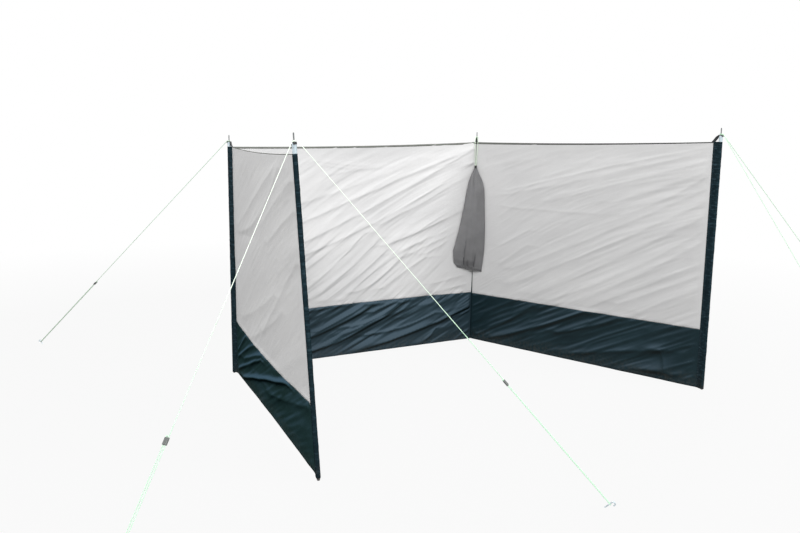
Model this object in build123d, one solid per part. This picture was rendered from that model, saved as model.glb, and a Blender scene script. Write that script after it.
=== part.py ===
from build123d import *
import os
from dataclasses import dataclass
from math import atan2, cos, degrees, hypot, radians, sin, tan

# A three-panel beach windbreak on four steel poles. A back panel runs along +X, with a wing
# at each end that comes forward along -Y. +Z is up, and the origin is on the ground at the
# foot of the left corner pole. Lengths are in mm and angles in degrees.

# Layout
panel_width = 1700.0          # from pole to pole, along the ground
right_panel_width = 1692.0    # the same for the right wing
left_splay = 3.5              # how far each wing opens past square with the back panel
right_splay = 17.6

# Poles
pole_height = 1400.0          # ground to the top of the end cap, along the pole
tube_diameter = 19.0
tube_wall = 1.0
plug_clearance = 0.1          # end plugs in the tube's bore
plug_depth = 15.0
foot_height = 14.0
foot_tip_diameter = 12.0
cap_height = 3.0
cap_rounding = 1.0
pin_diameter = 6.0
pin_height = 38.0             # above the cap
pin_tip_chamfer = 1.5
shoulder_diameter = 8.0       # thicker foot of the pin, inside the strap and the cord rings

# Cloth, drawn as thick closed slabs so that it can be weighed and touched
cloth_thickness = 4.0
stitch_gap = 0.2              # between pieces that are sewn together
binding_height = 10.0         # strip folded over the top hem
panel_stations = 4            # straight lengths that make up each curved hem

# Heights of the lower hem and of the seam between mud band and pale cloth, up the pole at
# each end of a panel, and how far they rise halfway along
left_hem_at_corner = 9.0
left_hem_at_end = 14.0
left_hem_rise = 5.0
left_seam_at_corner = 332.0
left_seam_at_end = 328.0
left_seam_sag = 27.0
back_hem_at_left = 24.0
back_hem_at_right = 2.0
back_seam_at_left = 346.0
back_seam_at_right = 333.0
back_seam_rise = 11.0
right_hem_at_corner = 2.0
right_hem_at_end = 5.0
right_seam_at_corner = 328.0
right_seam_at_end = 339.0

# How far the top hems sag halfway along
left_top_sag = 16.0
back_top_sag = 18.0
right_top_sag = 8.0

# Sleeves
sleeve_clearance = 0.3
sleeve_wall = 1.2
end_sleeve_reach = 38.0       # pole centre to the cloth
corner_sleeve_reach = 26.0

# Straps over the pole tops
strap_width = 16.0
strap_thickness = 1.8
strap_gap = 0.3
strap_bend = 2.4
strap_tail = 8.0              # length that hangs down the far side
strap_inset = 2.0             # strap's foot, back from the sleeve's inner edge

# Guy lines, runners and pegs
left_end_front_reach = 1230.0  # peg from the pole's foot, along the ground
left_end_rear_reach = 1180.0
corner_reach = 1706.0
right_end_reach = 1200.0
cord_diameter = 3.0
cord_gap = 0.3
cord_bend = 9.0
string_bend = 8.0
peg_loop_height = 16.0        # where the line holds the peg, above the ground
return_knot_diameter = 6.5
runner_place = 0.33           # share of the line's length, up from the peg
runner_length = 26.0
runner_thickness = 7.5
runner_margin = 2.5           # plastic outside each bore
runner_rounding = 2.0
peg_diameter = 5.0
peg_top = 16.0                # shaft above the line's loop
peg_hook_reach = 15.0
peg_hook_drop = 11.0
peg_bend = 5.0

# Storage bag on the right corner pole
bag_neck_drop = 204.0         # pole top down to the bag's neck
bag_length = 692.0
bag_width = 212.0
bag_thickness = 40.0
bag_heading = -24.0           # the way its width faces at the bottom
bag_gap = 1.0                 # bag to the walls it leans on
lock_diameter = 15.0
lock_height = 18.0
hem_run = 10.0                # half the distance between the drawstring's ends at the top hem
neck_run = 3.0                # and at the lock


@dataclass
class Pole:
    name: str
    x: float
    y: float
    lean_x: float             # tilt of the pole towards +X and towards +Y
    lean_y: float
    bare_top: float           # steel that shows above the sleeve
    bare_foot: float          # and below it
    neighbours: tuple         # headings of the panels that join it
    lines: tuple              # guy lines: turn from straight out, and reach along the ground

    @property
    def foot(self):
        return Vector(self.x, self.y, 0)

    @property
    def axis(self):
        return Vector(tan(radians(self.lean_x)), tan(radians(self.lean_y)), 1).normalized()

    @property
    def inward(self):
        """Heading that halves the corner, or points along the only panel."""
        total = sum((heading(angle) for angle in self.neighbours), Vector(0, 0, 0))
        return degrees(atan2(total.Y, total.X))

    @property
    def sleeve_top(self):
        return pole_height - self.bare_top

    @property
    def is_corner(self):
        return len(self.neighbours) > 1


def heading(angle):
    return Vector(cos(radians(angle)), sin(radians(angle)), 0)


left_wing = -90.0 - left_splay
right_wing = -90.0 + right_splay

left_end = Pole(
    name="left_end",
    x=panel_width * cos(radians(left_wing)),
    y=panel_width * sin(radians(left_wing)),
    lean_x=-2.05,
    lean_y=0.68,
    bare_top=45.0,
    bare_foot=12.0,
    neighbours=(left_wing + 180.0,),
    lines=((-50.2, left_end_front_reach), (53.1, left_end_rear_reach)),
)
left_corner = Pole(
    name="left_corner",
    x=0.0,
    y=0.0,
    lean_x=1.5,
    lean_y=0.1,
    bare_top=30.0,
    bare_foot=6.0,
    neighbours=(left_wing, 0.0),
    lines=((-6.5, corner_reach),),
)
right_corner = Pole(
    name="right_corner",
    x=panel_width,
    y=0.0,
    lean_x=1.6,
    lean_y=-0.8,
    bare_top=29.0,
    bare_foot=6.0,
    neighbours=(180.0, right_wing),
    lines=((0.0, corner_reach),),
)
right_end = Pole(
    name="right_end",
    x=panel_width + right_panel_width * cos(radians(right_wing)),
    y=right_panel_width * sin(radians(right_wing)),
    lean_x=0.4,
    lean_y=-1.4,
    bare_top=35.0,
    bare_foot=4.0,
    neighbours=(right_wing + 180.0,),
    lines=((53.8, right_end_reach), (-20.5, right_end_reach)),
)
poles = (left_end, left_corner, right_corner, right_end)

# Worked out from the sizes above
tube_radius = tube_diameter / 2
bore_radius = tube_radius - tube_wall
pin_radius = pin_diameter / 2
shoulder_radius = shoulder_diameter / 2
cord_radius = cord_diameter / 2
peg_radius = peg_diameter / 2
sleeve_bore = tube_radius + sleeve_clearance
sleeve_radius = sleeve_bore + sleeve_wall
cloth_offset = sleeve_bore + cloth_thickness / 2      # cloth passes a corner pole inside it
cloth_face = sleeve_bore + cloth_thickness            # its face on the sheltered side
strap_top = pole_height + strap_gap + strap_thickness
ring_radius = shoulder_radius + cord_gap + cord_radius
edge_radius = tube_radius + strap_gap + strap_thickness + cord_gap + cord_radius
peg_loop_radius = peg_radius + cord_gap + cord_radius


def upright(pole, angle):
    """Plane on a pole's foot, with Z up the pole and X towards a heading."""
    side = pole.axis.cross(heading(angle)).normalized()
    return Plane(origin=pole.foot, x_dir=side.cross(pole.axis), z_dir=pole.axis)


def along(plane, x, y, z):
    """A point given in a plane's own directions, as a point of the model."""
    return plane.origin + plane.x_dir * x + plane.y_dir * y + plane.z_dir * z


def above_ground(shape, near):
    """What is left of a shape over the ground, close to a place."""
    depth = 20 * peg_diameter
    soil = Pos(near.X, near.Y, -depth / 2) * Box(4 * depth, 4 * depth, depth)
    return shape - soil


# Poles

def make_tube(pole):
    length = pole_height - cap_height - foot_height
    raised = Align.CENTER, Align.CENTER, Align.MIN
    outside = Cylinder(tube_radius, length, align=raised)
    bore = Cylinder(bore_radius, length, align=raised)
    return upright(pole, pole.inward) * Pos(0, 0, foot_height) * (outside - bore)


def make_plug(length):
    return Cylinder(bore_radius - plug_clearance, length, align=(Align.CENTER, Align.CENTER, Align.MIN))


def make_foot(pole):
    """Tapered plug, run on below the ground and cut off level with it."""
    taper = (tube_diameter - foot_tip_diameter) / 2 / foot_height
    buried = foot_tip_diameter / 4
    buried_radius = foot_tip_diameter / 2 - taper * buried
    tip = Cone(buried_radius, tube_radius, foot_height + buried)
    tip = Pos(0, 0, (foot_height - buried) / 2) * tip
    foot = tip + Pos(0, 0, foot_height) * make_plug(plug_depth)
    return above_ground(upright(pole, pole.inward) * foot, pole.foot)


def rings_on(pole):
    """Cord rings that lie on the pole's strap, with the storage bag's own at its corner."""
    return len(pole.lines) + (1 if pole is right_corner else 0)


def make_pin(pole):
    raised = Align.CENTER, Align.CENTER, Align.MIN
    shoulder_height = ring_level(rings_on(pole)) - cord_radius + cord_gap - pole_height
    pin = Cylinder(pin_radius, pin_height, align=raised)
    pin = chamfer(pin.edges().sort_by(Axis.Z)[-1], pin_tip_chamfer)
    cap = Cylinder(tube_radius, cap_height, align=raised)
    cap = fillet(cap.edges().sort_by(Axis.Z)[-1], cap_rounding)
    top = Pos(0, 0, pole_height) * (pin + Cylinder(shoulder_radius, shoulder_height, align=raised))
    top += Pos(0, 0, pole_height - cap_height) * cap
    top += Pos(0, 0, pole_height - cap_height - plug_depth) * make_plug(plug_depth)
    return upright(pole, pole.inward) * top


# Sleeves and straps

def corner_half_angle(pole):
    first, second = (heading(angle) for angle in pole.neighbours)
    return degrees(atan2((first - second).length, (first + second).length))


def corner_edge(pole):
    """Distance from a corner pole's axis to the fold of the cloth inside it."""
    return cloth_face / sin(radians(corner_half_angle(pole)))


def cloth_side(pole, angle):
    """Which side of a heading the sheltered space is on, at a corner pole."""
    turn = heading(angle).cross(heading(pole.inward)).Z
    return 1.0 if turn > 0 else -1.0


def end_profile():
    lip = cloth_thickness / 2
    tail = Pos(end_sleeve_reach - lip / 2, 0) * Rectangle(lip, cloth_thickness)
    return make_hull(Circle(sleeve_radius).edges() + tail.edges())


def corner_profile(pole):
    """Ring round the tube, the fold of cloth inside it and a tail along each panel."""
    half = corner_half_angle(pole)
    shape = Sketch() + Circle(sleeve_radius)
    tangent = cloth_face * Vector(sin(radians(half)), cos(radians(half)), 0)
    fold = Vector(corner_edge(pole), 0, 0)
    shape += Polygon((0, 0), (tangent.X, -tangent.Y), (fold.X, 0), (tangent.X, tangent.Y), align=None)
    fold_reach = fold.X * cos(radians(half))
    for side in (1.0, -1.0):
        tail = Rectangle(
            corner_sleeve_reach - fold_reach,
            cloth_thickness,
            align=(Align.MIN, Align.CENTER),
        )
        shape += Rot(0, 0, side * half) * Pos(fold_reach, -side * cloth_offset) * tail
    return shape


def make_sleeve(pole):
    profile = corner_profile(pole) if pole.is_corner else end_profile()
    profile -= Circle(sleeve_bore)
    sleeve = extrude(profile, pole.sleeve_top - pole.bare_foot)
    return upright(pole, pole.inward) * Pos(0, 0, pole.bare_foot) * sleeve


def make_strap(pole):
    """Webbing from the cloth's top corner, over the cap and a little way down behind."""
    outer = corner_edge(pole) if pole.is_corner else end_sleeve_reach
    landing = outer - strap_inset
    middle = tube_radius + strap_gap + strap_thickness / 2
    level = pole_height + strap_gap + strap_thickness / 2
    foot = Vector(landing, 0, pole.sleeve_top)
    near_edge = Vector(middle, 0, level)
    run_on = (foot - near_edge).normalized() * strap_thickness
    tail_end = Vector(-middle, 0, pole_height - strap_tail)
    route = FilletPolyline(foot + run_on, near_edge, Vector(-middle, 0, level), tail_end, radius=strap_bend)
    start = Plane(origin=foot + run_on, x_dir=(0, 1, 0), z_dir=near_edge - foot)
    strap = sweep(start * Rectangle(strap_width, strap_thickness), path=route)
    strap -= Pos(0, 0, level) * Cylinder(shoulder_radius + strap_gap, 4 * strap_thickness)
    under = pole.sleeve_top + stitch_gap
    block = Box(4 * landing, 2 * strap_width, under, align=(Align.CENTER, Align.CENTER, Align.MIN))
    return upright(pole, pole.inward) * (strap - block)


# Cloth

def panel_corner(pole, angle, height, face):
    """Where a panel starts at a pole, at a height up the pole, on one face of the cloth."""
    reach = end_sleeve_reach
    across = face * cloth_thickness / 2
    if pole.is_corner:
        reach = corner_sleeve_reach
        across += cloth_side(pole, angle) * cloth_offset
    return along(upright(pole, angle), reach + stitch_gap, across, height)


def make_strip(near, near_angle, far, far_angle, low, high):
    """A strip of cloth between two poles. low and high each hold the height at the near
    pole, the height at the far pole and how far the edge rises in the middle."""
    sections = []
    for station in range(panel_stations + 1):
        share = station / panel_stations
        bow = 4 * share * (1 - share)
        ring = []
        for edge, face in ((low, 1), (high, 1), (high, -1), (low, -1)):
            near_point = panel_corner(near, near_angle, edge[0], face)
            far_point = panel_corner(far, far_angle, edge[1], -face)
            up = near.axis * (1 - share) + far.axis * share
            ring.append(near_point * (1 - share) + far_point * share + up * edge[2] * bow)
        sections.append(Face(Wire.make_polygon(ring, close=True)))
    return loft(sections, ruled=True)


def make_panel(name, near, near_angle, far, far_angle, hem, seam, top_sag):
    """Mud band, pale cloth and top binding of one panel, from the bottom up."""
    near_top = near.sleeve_top
    far_top = far.sleeve_top
    edges = (
        hem,
        seam,
        (near_top - binding_height, far_top - binding_height, -top_sag),
        (near_top, far_top, -top_sag),
    )
    pieces = {}
    for piece, low, high in zip(("mud_band", "cloth", "top_binding"), edges, edges[1:]):
        top = (high[0] - stitch_gap, high[1] - stitch_gap, high[2])
        pieces[f"{name}_{piece}"] = make_strip(near, near_angle, far, far_angle, low, top)
    return pieces


# Guy lines, runners and pegs

@dataclass
class Guy:
    """One line's set-out: from its ring on the pin to the loop on its peg."""
    ring: Plane               # on the pole's axis, X out towards the peg
    edge: Vector              # where the line turns down over the cap
    peg: Plane                # on the peg's shaft, X up the line and Z up the shaft
    loop_start: Vector


def ring_level(place):
    return strap_top + cord_gap + cord_radius + place * (cord_diameter + cord_gap)


def set_out(pole, place):
    turn, reach = pole.lines[place]
    out = pole.inward + 180.0 + turn
    ground = pole.foot + heading(out) * reach
    top = pole.foot + pole.axis * ring_level(place)
    away = Vector(ground.X - top.X, ground.Y - top.Y, 0).normalized()
    ring = upright(pole, degrees(atan2(away.Y, away.X)))
    ring = Plane(origin=top, x_dir=ring.x_dir, z_dir=ring.z_dir)
    edge = along(ring, edge_radius, 0, 0)
    loop_start = Vector(ground.X, ground.Y, peg_loop_height)
    up_line = (edge - loop_start).normalized()
    sideways = Vector(0, 0, 1).cross(away)
    centre = loop_start - sideways * peg_loop_radius
    peg = Plane(origin=centre, x_dir=up_line, z_dir=sideways.cross(up_line))
    return Guy(ring, edge, peg, loop_start)


def runner_distance(guy):
    return (guy.edge - guy.loop_start).length * runner_place


def make_ring(plane):
    return plane * Torus(ring_radius, cord_radius)


def make_line(guy):
    """Ring on the pin, down to the peg, round it and back up to a knot on the runner."""
    start = along(guy.ring, ring_radius, 0, 0)
    down = FilletPolyline(start, guy.edge, guy.loop_start, radius=cord_bend)
    behind = along(guy.peg, -peg_loop_radius, 0, 0)
    turned = guy.peg.origin * 2 - guy.loop_start
    bight = ThreePointArc(guy.loop_start, behind, turned)
    knot_radius = return_knot_diameter / 2
    knot_place = runner_distance(guy) + runner_length / 2 + cord_gap + knot_radius
    knot = turned + guy.peg.x_dir * knot_place
    route = Wire([*down.edges(), bight, Line(turned, knot)])
    section = Plane(origin=start, x_dir=guy.ring.y_dir, z_dir=guy.ring.x_dir) * Circle(cord_radius)
    line = sweep(section, path=route)
    return line + make_ring(guy.ring) + Pos(*knot) * Sphere(knot_radius)


def make_runner(guy):
    """Rounded plastic block with a bore for each run of the line."""
    width = 2 * (peg_loop_radius + cord_radius + cord_gap + runner_margin)
    block = Box(runner_length, width, runner_thickness)
    block = fillet(block.edges(), runner_rounding)
    for side in (1, -1):
        bore = Rot(0, 90, 0) * Cylinder(cord_radius + cord_gap, runner_length)
        block -= Pos(0, side * peg_loop_radius, 0) * bore
    return guy.peg * Pos(runner_distance(guy), 0, 0) * block


def make_peg(guy):
    """Bent steel peg, square to its line and cut off at the ground."""
    depth = guy.peg.origin.Z / guy.peg.z_dir.Z
    buried = 3 * peg_diameter
    route = FilletPolyline(
        (0, 0, -depth - buried),
        (0, 0, peg_top),
        (-peg_hook_reach, 0, peg_top),
        (-peg_hook_reach, 0, peg_top - peg_hook_drop),
        radius=peg_bend,
    )
    start = Plane(origin=(0, 0, -depth - buried))
    peg = guy.peg * sweep(start * Circle(peg_radius), path=route)
    return above_ground(peg, guy.peg.origin)


# Storage bag

# The bag's outline from the neck down, as shares of its length, width and thickness,
# with each level's turn from the bag's heading
bag_outline = (
    (0.0, 0.08, 0.35, -15.0),
    (0.03, 0.165, 0.45, -15.0),
    (0.08, 0.32, 0.60, -16.5),
    (0.13, 0.453, 0.70, -18.0),
    (0.20, 0.56, 0.80, -18.0),
    (0.37, 0.66, 0.92, -13.5),
    (0.57, 0.81, 0.98, -9.0),
    (0.81, 1.0, 1.0, -1.5),
    (0.95, 0.925, 0.85, 0.0),
    (1.0, 0.85, 0.35, 0.0),
)


def bag_level(row):
    """Drop from the pole's top, half width, half thickness and heading of one level."""
    drop, width, thickness, turn = row
    drop = bag_neck_drop + drop * bag_length
    return drop, width * bag_width / 2, thickness * bag_thickness / 2, bag_heading + turn


def bag_centre(pole, drop, half_width, half_thickness, facing):
    """Where a level of the bag sits when both its edges lean on the corner's walls."""
    across = heading(facing)
    through = heading(facing + 90.0)
    walls = []
    for angle in pole.neighbours:
        normal = heading(angle + 90.0) * -cloth_side(pole, angle)
        extent = hypot(half_width * across.dot(normal), half_thickness * through.dot(normal))
        walls.append((normal, -(cloth_face + bag_gap + extent)))
    (first, first_gap), (second, second_gap) = walls
    scale = first.X * second.Y - first.Y * second.X
    x = (first_gap * second.Y - second_gap * first.Y) / scale
    y = (first.X * second_gap - second.X * first_gap) / scale
    return pole.foot + pole.axis * (pole_height - drop) + Vector(x, y, 0)


def make_bag(pole):
    sections = []
    for row in bag_outline:
        drop, half_width, half_thickness, facing = bag_level(row)
        centre = bag_centre(pole, drop, half_width, half_thickness, facing)
        level = Plane(origin=centre, x_dir=heading(facing), z_dir=(0, 0, 1))
        sections.append(level * Ellipse(half_width, half_thickness))
    return loft(sections)


def lock_base(pole):
    return bag_centre(pole, *bag_level(bag_outline[0])) + Vector(0, 0, stitch_gap)


def make_lock(pole):
    raised = Align.CENTER, Align.CENTER, Align.MIN
    body = Cylinder(lock_diameter / 2, lock_height, align=raised)
    return Pos(*lock_base(pole)) * fillet(body.edges(), runner_rounding)


def make_drawstring(pole):
    """Loop over the pin above the guy lines, with both ends down into the cord lock."""
    plane = upright(pole, pole.inward)
    level = ring_level(len(pole.lines))
    plane = Plane(origin=pole.foot + pole.axis * level, x_dir=plane.x_dir, z_dir=plane.z_dir)
    lock_top = lock_base(pole) + Vector(0, 0, lock_height + stitch_gap)
    half = radians(corner_half_angle(pole))
    hem_reach = (cloth_face + cord_gap + cord_radius + hem_run * cos(half)) / sin(half)
    hem_level = pole.sleeve_top - pole_height
    size = 4 * lock_diameter
    below = Pos(*lock_top) * Box(size, size, size, align=(Align.CENTER, Align.CENTER, Align.MAX))
    string = make_ring(plane)
    for side in (1, -1):
        start = along(plane, 0, side * ring_radius, 0)
        over = along(plane, edge_radius, side * ring_radius, 0)
        hem = along(plane, hem_reach, side * hem_run, hem_level)
        end = lock_top + plane.y_dir * side * neck_run
        route = FilletPolyline(start, over, hem, end, radius=string_bend)
        section = Plane(origin=start, x_dir=plane.y_dir, z_dir=plane.x_dir) * Circle(cord_radius)
        string += sweep(section, path=route) - below
    return string


def build():
    """Every named piece of the windbreak."""
    pieces = {}
    for pole in poles:
        guys = [set_out(pole, place) for place in range(len(pole.lines))]
        plural = "s" if len(guys) > 1 else ""
        pieces[f"{pole.name}_tube"] = make_tube(pole)
        pieces[f"{pole.name}_foot"] = make_foot(pole)
        pieces[f"{pole.name}_pin"] = make_pin(pole)
        pieces[f"{pole.name}_sleeve"] = make_sleeve(pole)
        pieces[f"{pole.name}_strap"] = make_strap(pole)
        pieces[f"{pole.name}_guy_line{plural}"] = Compound([make_line(guy) for guy in guys])
        pieces[f"{pole.name}_runner{plural}"] = Compound([make_runner(guy) for guy in guys])
        pieces[f"{pole.name}_peg{plural}"] = Compound([make_peg(guy) for guy in guys])
    hem = left_hem_at_corner, left_hem_at_end, left_hem_rise
    seam = left_seam_at_corner, left_seam_at_end, -left_seam_sag
    pieces |= make_panel("left", left_corner, left_wing, left_end, left_wing + 180.0, hem, seam, left_top_sag)
    hem = back_hem_at_left, back_hem_at_right, 0.0
    seam = back_seam_at_left, back_seam_at_right, back_seam_rise
    pieces |= make_panel("back", left_corner, 0.0, right_corner, 180.0, hem, seam, back_top_sag)
    hem = right_hem_at_corner, right_hem_at_end, 0.0
    seam = right_seam_at_corner, right_seam_at_end, 0.0
    pieces |= make_panel(
        "right", right_corner, right_wing, right_end, right_wing + 180.0, hem, seam, right_top_sag
    )
    pieces["storage_bag"] = make_bag(right_corner)
    pieces["bag_cord_lock"] = make_lock(right_corner)
    pieces["bag_drawstring"] = make_drawstring(right_corner)
    return pieces


os.makedirs("parts", exist_ok=True)
for node, shape in build().items():
    export_step(shape, f"parts/{node}.step")
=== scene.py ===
import math

import bpy
import numpy as np
from mathutils import Matrix, Vector


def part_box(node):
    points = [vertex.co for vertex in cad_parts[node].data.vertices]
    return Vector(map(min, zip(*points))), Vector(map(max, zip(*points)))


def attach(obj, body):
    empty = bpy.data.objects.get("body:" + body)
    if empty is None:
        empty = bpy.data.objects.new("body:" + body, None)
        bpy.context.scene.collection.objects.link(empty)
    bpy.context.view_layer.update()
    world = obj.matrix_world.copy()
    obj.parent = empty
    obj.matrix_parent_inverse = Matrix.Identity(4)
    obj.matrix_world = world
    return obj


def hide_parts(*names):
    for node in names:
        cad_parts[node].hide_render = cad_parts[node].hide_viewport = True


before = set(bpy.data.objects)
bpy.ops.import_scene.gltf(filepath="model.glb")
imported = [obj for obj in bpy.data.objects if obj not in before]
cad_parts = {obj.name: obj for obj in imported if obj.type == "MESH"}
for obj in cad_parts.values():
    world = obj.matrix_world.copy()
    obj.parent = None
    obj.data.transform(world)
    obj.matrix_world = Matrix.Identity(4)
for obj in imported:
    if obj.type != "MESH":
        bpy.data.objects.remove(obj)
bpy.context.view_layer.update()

print("frame loaded,", len(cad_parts), "solids")


def deselectAll():
    for piece in bpy.context.selected_objects:
        piece.select_set(False)


def makeActive(piece):
    deselectAll()
    piece.select_set(True)
    bpy.context.view_layer.objects.active = piece


def smoothStep(value):
    value = np.clip(value, 0.0, 1.0)
    return value * value * (3 - 2 * value)


# the same step from a start on, over a length; a negative length makes it fall to nought there
def ramp(value, start, length):
    return smoothStep((value - start) / length)


def bell(value, width):
    return np.exp(-(value / width) ** 2)


def heading(angle):
    return Vector((math.cos(math.radians(angle)), math.sin(math.radians(angle)), 0))


# Where the poles stand: foot, tilt towards +X and +Y, bare steel below and above the
# sleeve, and the headings of the panels that join there. Metres and degrees.
poles = {
    "left_end": {
        "foot": (-0.10378, -1.69683), "tilt": (-2.05, 0.68), "bare": (0.012, 0.045), "panels": (86.5,),
    },
    "left_corner": {
        "foot": (0, 0), "tilt": (1.5, 0.1), "bare": (0.006, 0.030), "panels": (-93.5, 0),
    },
    "right_corner": {
        "foot": (1.7, 0), "tilt": (1.6, -0.8), "bare": (0.006, 0.029), "panels": (180, -72.4),
    },
    "right_end": {
        "foot": (2.21161, -1.61280), "tilt": (0.4, -1.4), "bare": (0.004, 0.035), "panels": (107.6,),
    },
}
poleHeight = 1.4
tubeRadius = 0.0095
clothInside = 0.0130      # sheltered face of the cloth, off a corner pole's axis
clothThickness = 0.0008


class PoleFrame:
    def __init__(self, name):
        facts = poles[name]
        self.name = name
        self.foot = Vector((*facts["foot"], 0))
        self.up = Vector((*[math.tan(math.radians(tilt)) for tilt in facts["tilt"]], 1)).normalized()
        self.sleeveBottom = facts["bare"][0]
        self.sleeveTop = poleHeight - facts["bare"][1]
        self.headings = facts["panels"]
        total = sum((heading(angle) for angle in self.headings), Vector((0, 0, 0)))
        self.inward = math.degrees(math.atan2(total.y, total.x))
        self.isCorner = len(self.headings) > 1
        self.half = 0.0
        if self.isCorner:
            first, second = (heading(angle) for angle in self.headings)
            self.half = math.atan2((first - second).length, (first + second).length)

    # directions square to the pole: towards a heading, and to the left of it
    def sides(self, angle):
        left = self.up.cross(heading(angle)).normalized()
        return left.cross(self.up), left

    # a point at a height up the pole, so far towards a heading and so far to its left
    def place(self, angle, reach, across, height):
        out, left = self.sides(angle)
        return self.foot + self.up * height + out * reach + left * across


poleFrames = {name: PoleFrame(name) for name in poles}


# a node's output that takes part in sums, so that a pattern reads as its formula
class Signal:
    def __init__(self, tree, socket):
        self.tree = tree
        self.socket = socket

    def __add__(self, other):
        return self.tree.math("ADD", self, other)

    def __sub__(self, other):
        return self.tree.math("SUBTRACT", self, other)

    def __mul__(self, other):
        return self.tree.math("MULTIPLY", self, other)

    def __truediv__(self, other):
        return self.tree.math("DIVIDE", self, other)

    def __abs__(self):
        return self.tree.math("ABSOLUTE", self)

    def span(self, low, high, toLow=0.0, toHigh=1.0):
        values = {"Value": self, "From Min": low, "From Max": high, "To Min": toLow, "To Max": toHigh}
        return self.tree.node("MapRange", values, "Result")


class Tree:
    def __init__(self, tree):
        self.tree = tree

    def feed(self, socket, value):
        if isinstance(value, Signal):
            self.tree.links.new(value.socket, socket)
        else:
            socket.default_value = value

    # a new node with its inputs and settings, and the output to go on with
    def node(self, kind, values, output=0, **settings):
        made = self.tree.nodes.new("ShaderNode" + kind)
        for name, value in settings.items():
            setattr(made, name, value)
        for label, value in values.items():
            self.feed(made.inputs[label], value)
        return Signal(self, made.outputs[output])

    def math(self, operation, *values):
        return self.node("Math", dict(enumerate(values)), operation=operation)

    def split(self, vector):
        made = self.node("SeparateXYZ", {0: vector}).socket.node
        return [Signal(self, socket) for socket in made.outputs]

    def join(self, x, y, z):
        return self.node("CombineXYZ", {0: x, 1: y, 2: z})

    def noise(self, vector, scale, detail=3.0, roughness=0.5, distortion=0.0):
        values = {"Vector": vector, "Scale": scale, "Detail": detail}
        values.update({"Roughness": roughness, "Distortion": distortion})
        return self.node("TexNoise", values, "Fac")

    def mix(self, share, first, second):
        values = {"Factor": share, "A": first, "B": second}
        return self.node("Mix", values, "Result", data_type="RGBA")

    # a node group with its inputs, as its outputs by name
    def place(self, name, **values):
        made = self.tree.nodes.new("ShaderNodeGroup")
        made.node_tree = groups[name]
        for label, value in values.items():
            self.feed(made.inputs[label], value)
        return {socket.name: Signal(self, socket) for socket in made.outputs}

    def bump(self, height, strength, distance, normal=None):
        values = {"Strength": strength, "Distance": distance, "Height": height}
        if normal is not None:
            values["Normal"] = normal
        return self.node("Bump", values, "Normal")

    def finish(self, kind, surface):
        end = self.tree.nodes.new("ShaderNodeOutput" + kind)
        self.feed(end.inputs["Surface"], surface)


# the emptied node tree of a material or a world
def emptyTree(owner):
    owner.use_nodes = True
    owner.node_tree.nodes.clear()
    return Tree(owner.node_tree)


groups = {}


# a node group: fill works out its outputs from its inputs, which are given with their
# first values, None for a place and four numbers for a colour
def makeGroup(name, fill, **inputs):
    group = bpy.data.node_groups.new(name, "ShaderNodeTree")
    for label, value in inputs.items():
        kind = "Vector" if value is None else "Color" if isinstance(value, tuple) else "Float"
        socket = group.interface.new_socket(label, in_out="INPUT", socket_type="NodeSocket" + kind)
        if value is not None:
            socket.default_value = value
    tree = Tree(group)
    given = group.nodes.new("NodeGroupInput")
    results = fill(tree, *[Signal(tree, given.outputs[label]) for label in inputs])
    for label in results:
        kind = "Color" if label == "Color" else "Float"
        group.interface.new_socket(label, in_out="OUTPUT", socket_type="NodeSocket" + kind)
    out = group.nodes.new("NodeGroupOutput")
    for label, value in results.items():
        tree.feed(out.inputs[label], value)
    groups[name] = group


# plain weave: warp and weft go over and under each other, with uneven yarns
def fillWeave(tree, place, yarns, slub):
    x, y, _ = tree.split(place)
    warp, weft = [tree.math("SINE", side * (yarns * math.pi)) for side in (x, y)]
    ribs = tree.math("MAXIMUM", abs(warp), abs(weft))
    across = tree.noise(tree.join(x * 9.0, y * 700.0, 0.0), 1.0, 2.0)
    along = tree.noise(tree.join(x * 700.0, y * 9.0, 0.0), 1.0, 2.0)
    uneven = (across + along - 1.0) * slub
    return {"Height": uneven + (warp * weft * 0.5 + ribs * 0.5), "Tone": uneven + 0.5}


# small creases left by folding and packing
def fillCreases(tree, place, scale, stretch):
    x, y, _ = tree.split(place)
    field = tree.join((x - y * 0.5) / stretch, y + x * 0.5, 0.0)
    sharp = abs(tree.noise(field, scale, 4.0, 0.55, 0.6) - 0.5)
    fine = tree.noise(field, scale * 3.7, 2.0, 0.5, 0.4)
    return {"Height": tree.math("SQRT", sharp) * -0.6 + fine * 0.25}


# a row of stitches: it runs along one coordinate at a fixed place on the other
def fillStitches(tree, along, across, row, pitch, width):
    away = abs(across - row)
    half = width * 0.5
    beat = tree.math("FRACT", along / pitch)
    thread = abs(beat - 0.5).span(0.42, 0.34)
    return {"Mask": away.span(half, half * 0.4) * thread, "Dip": away.span(half * 5.0, 0.0)}


# dust and splashed soil that thins out with height
def fillSoil(tree, place, height, amount):
    low = tree.split(place)[2].span(height, 0.0)
    specks = tree.noise(place, 60.0, 5.0, 0.65).span(0.42, 0.7)
    return {"Mask": low * specks * (tree.noise(place, 5.0, 3.0) * amount)}


# soft light and dark areas that any cloth or paint has
def fillMottle(tree, place, scale, dark, light):
    field = tree.noise(place, scale, 4.0, 0.6).span(0.3, 0.7)
    return {"Color": tree.mix(field, dark, light), "Fac": field}


# fine streaks up a drawn and galvanised tube, with zinc spangle and scuffs
def fillDrawn(tree, place, spangle):
    x, y, z = tree.split(place)
    streak = tree.noise(tree.join(x * 900.0, y * 900.0, z * 14.0), 1.0, 3.0, 0.6)
    cells = tree.node("TexVoronoi", {"Vector": place, "Scale": spangle}, "Distance")
    scuff = tree.noise(place, 90.0, 5.0, 0.7, 1.5).span(0.56, 0.68)
    return {"Streak": streak, "Scuff": scuff, "Height": streak * 0.5 + cells * 0.3}


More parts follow.
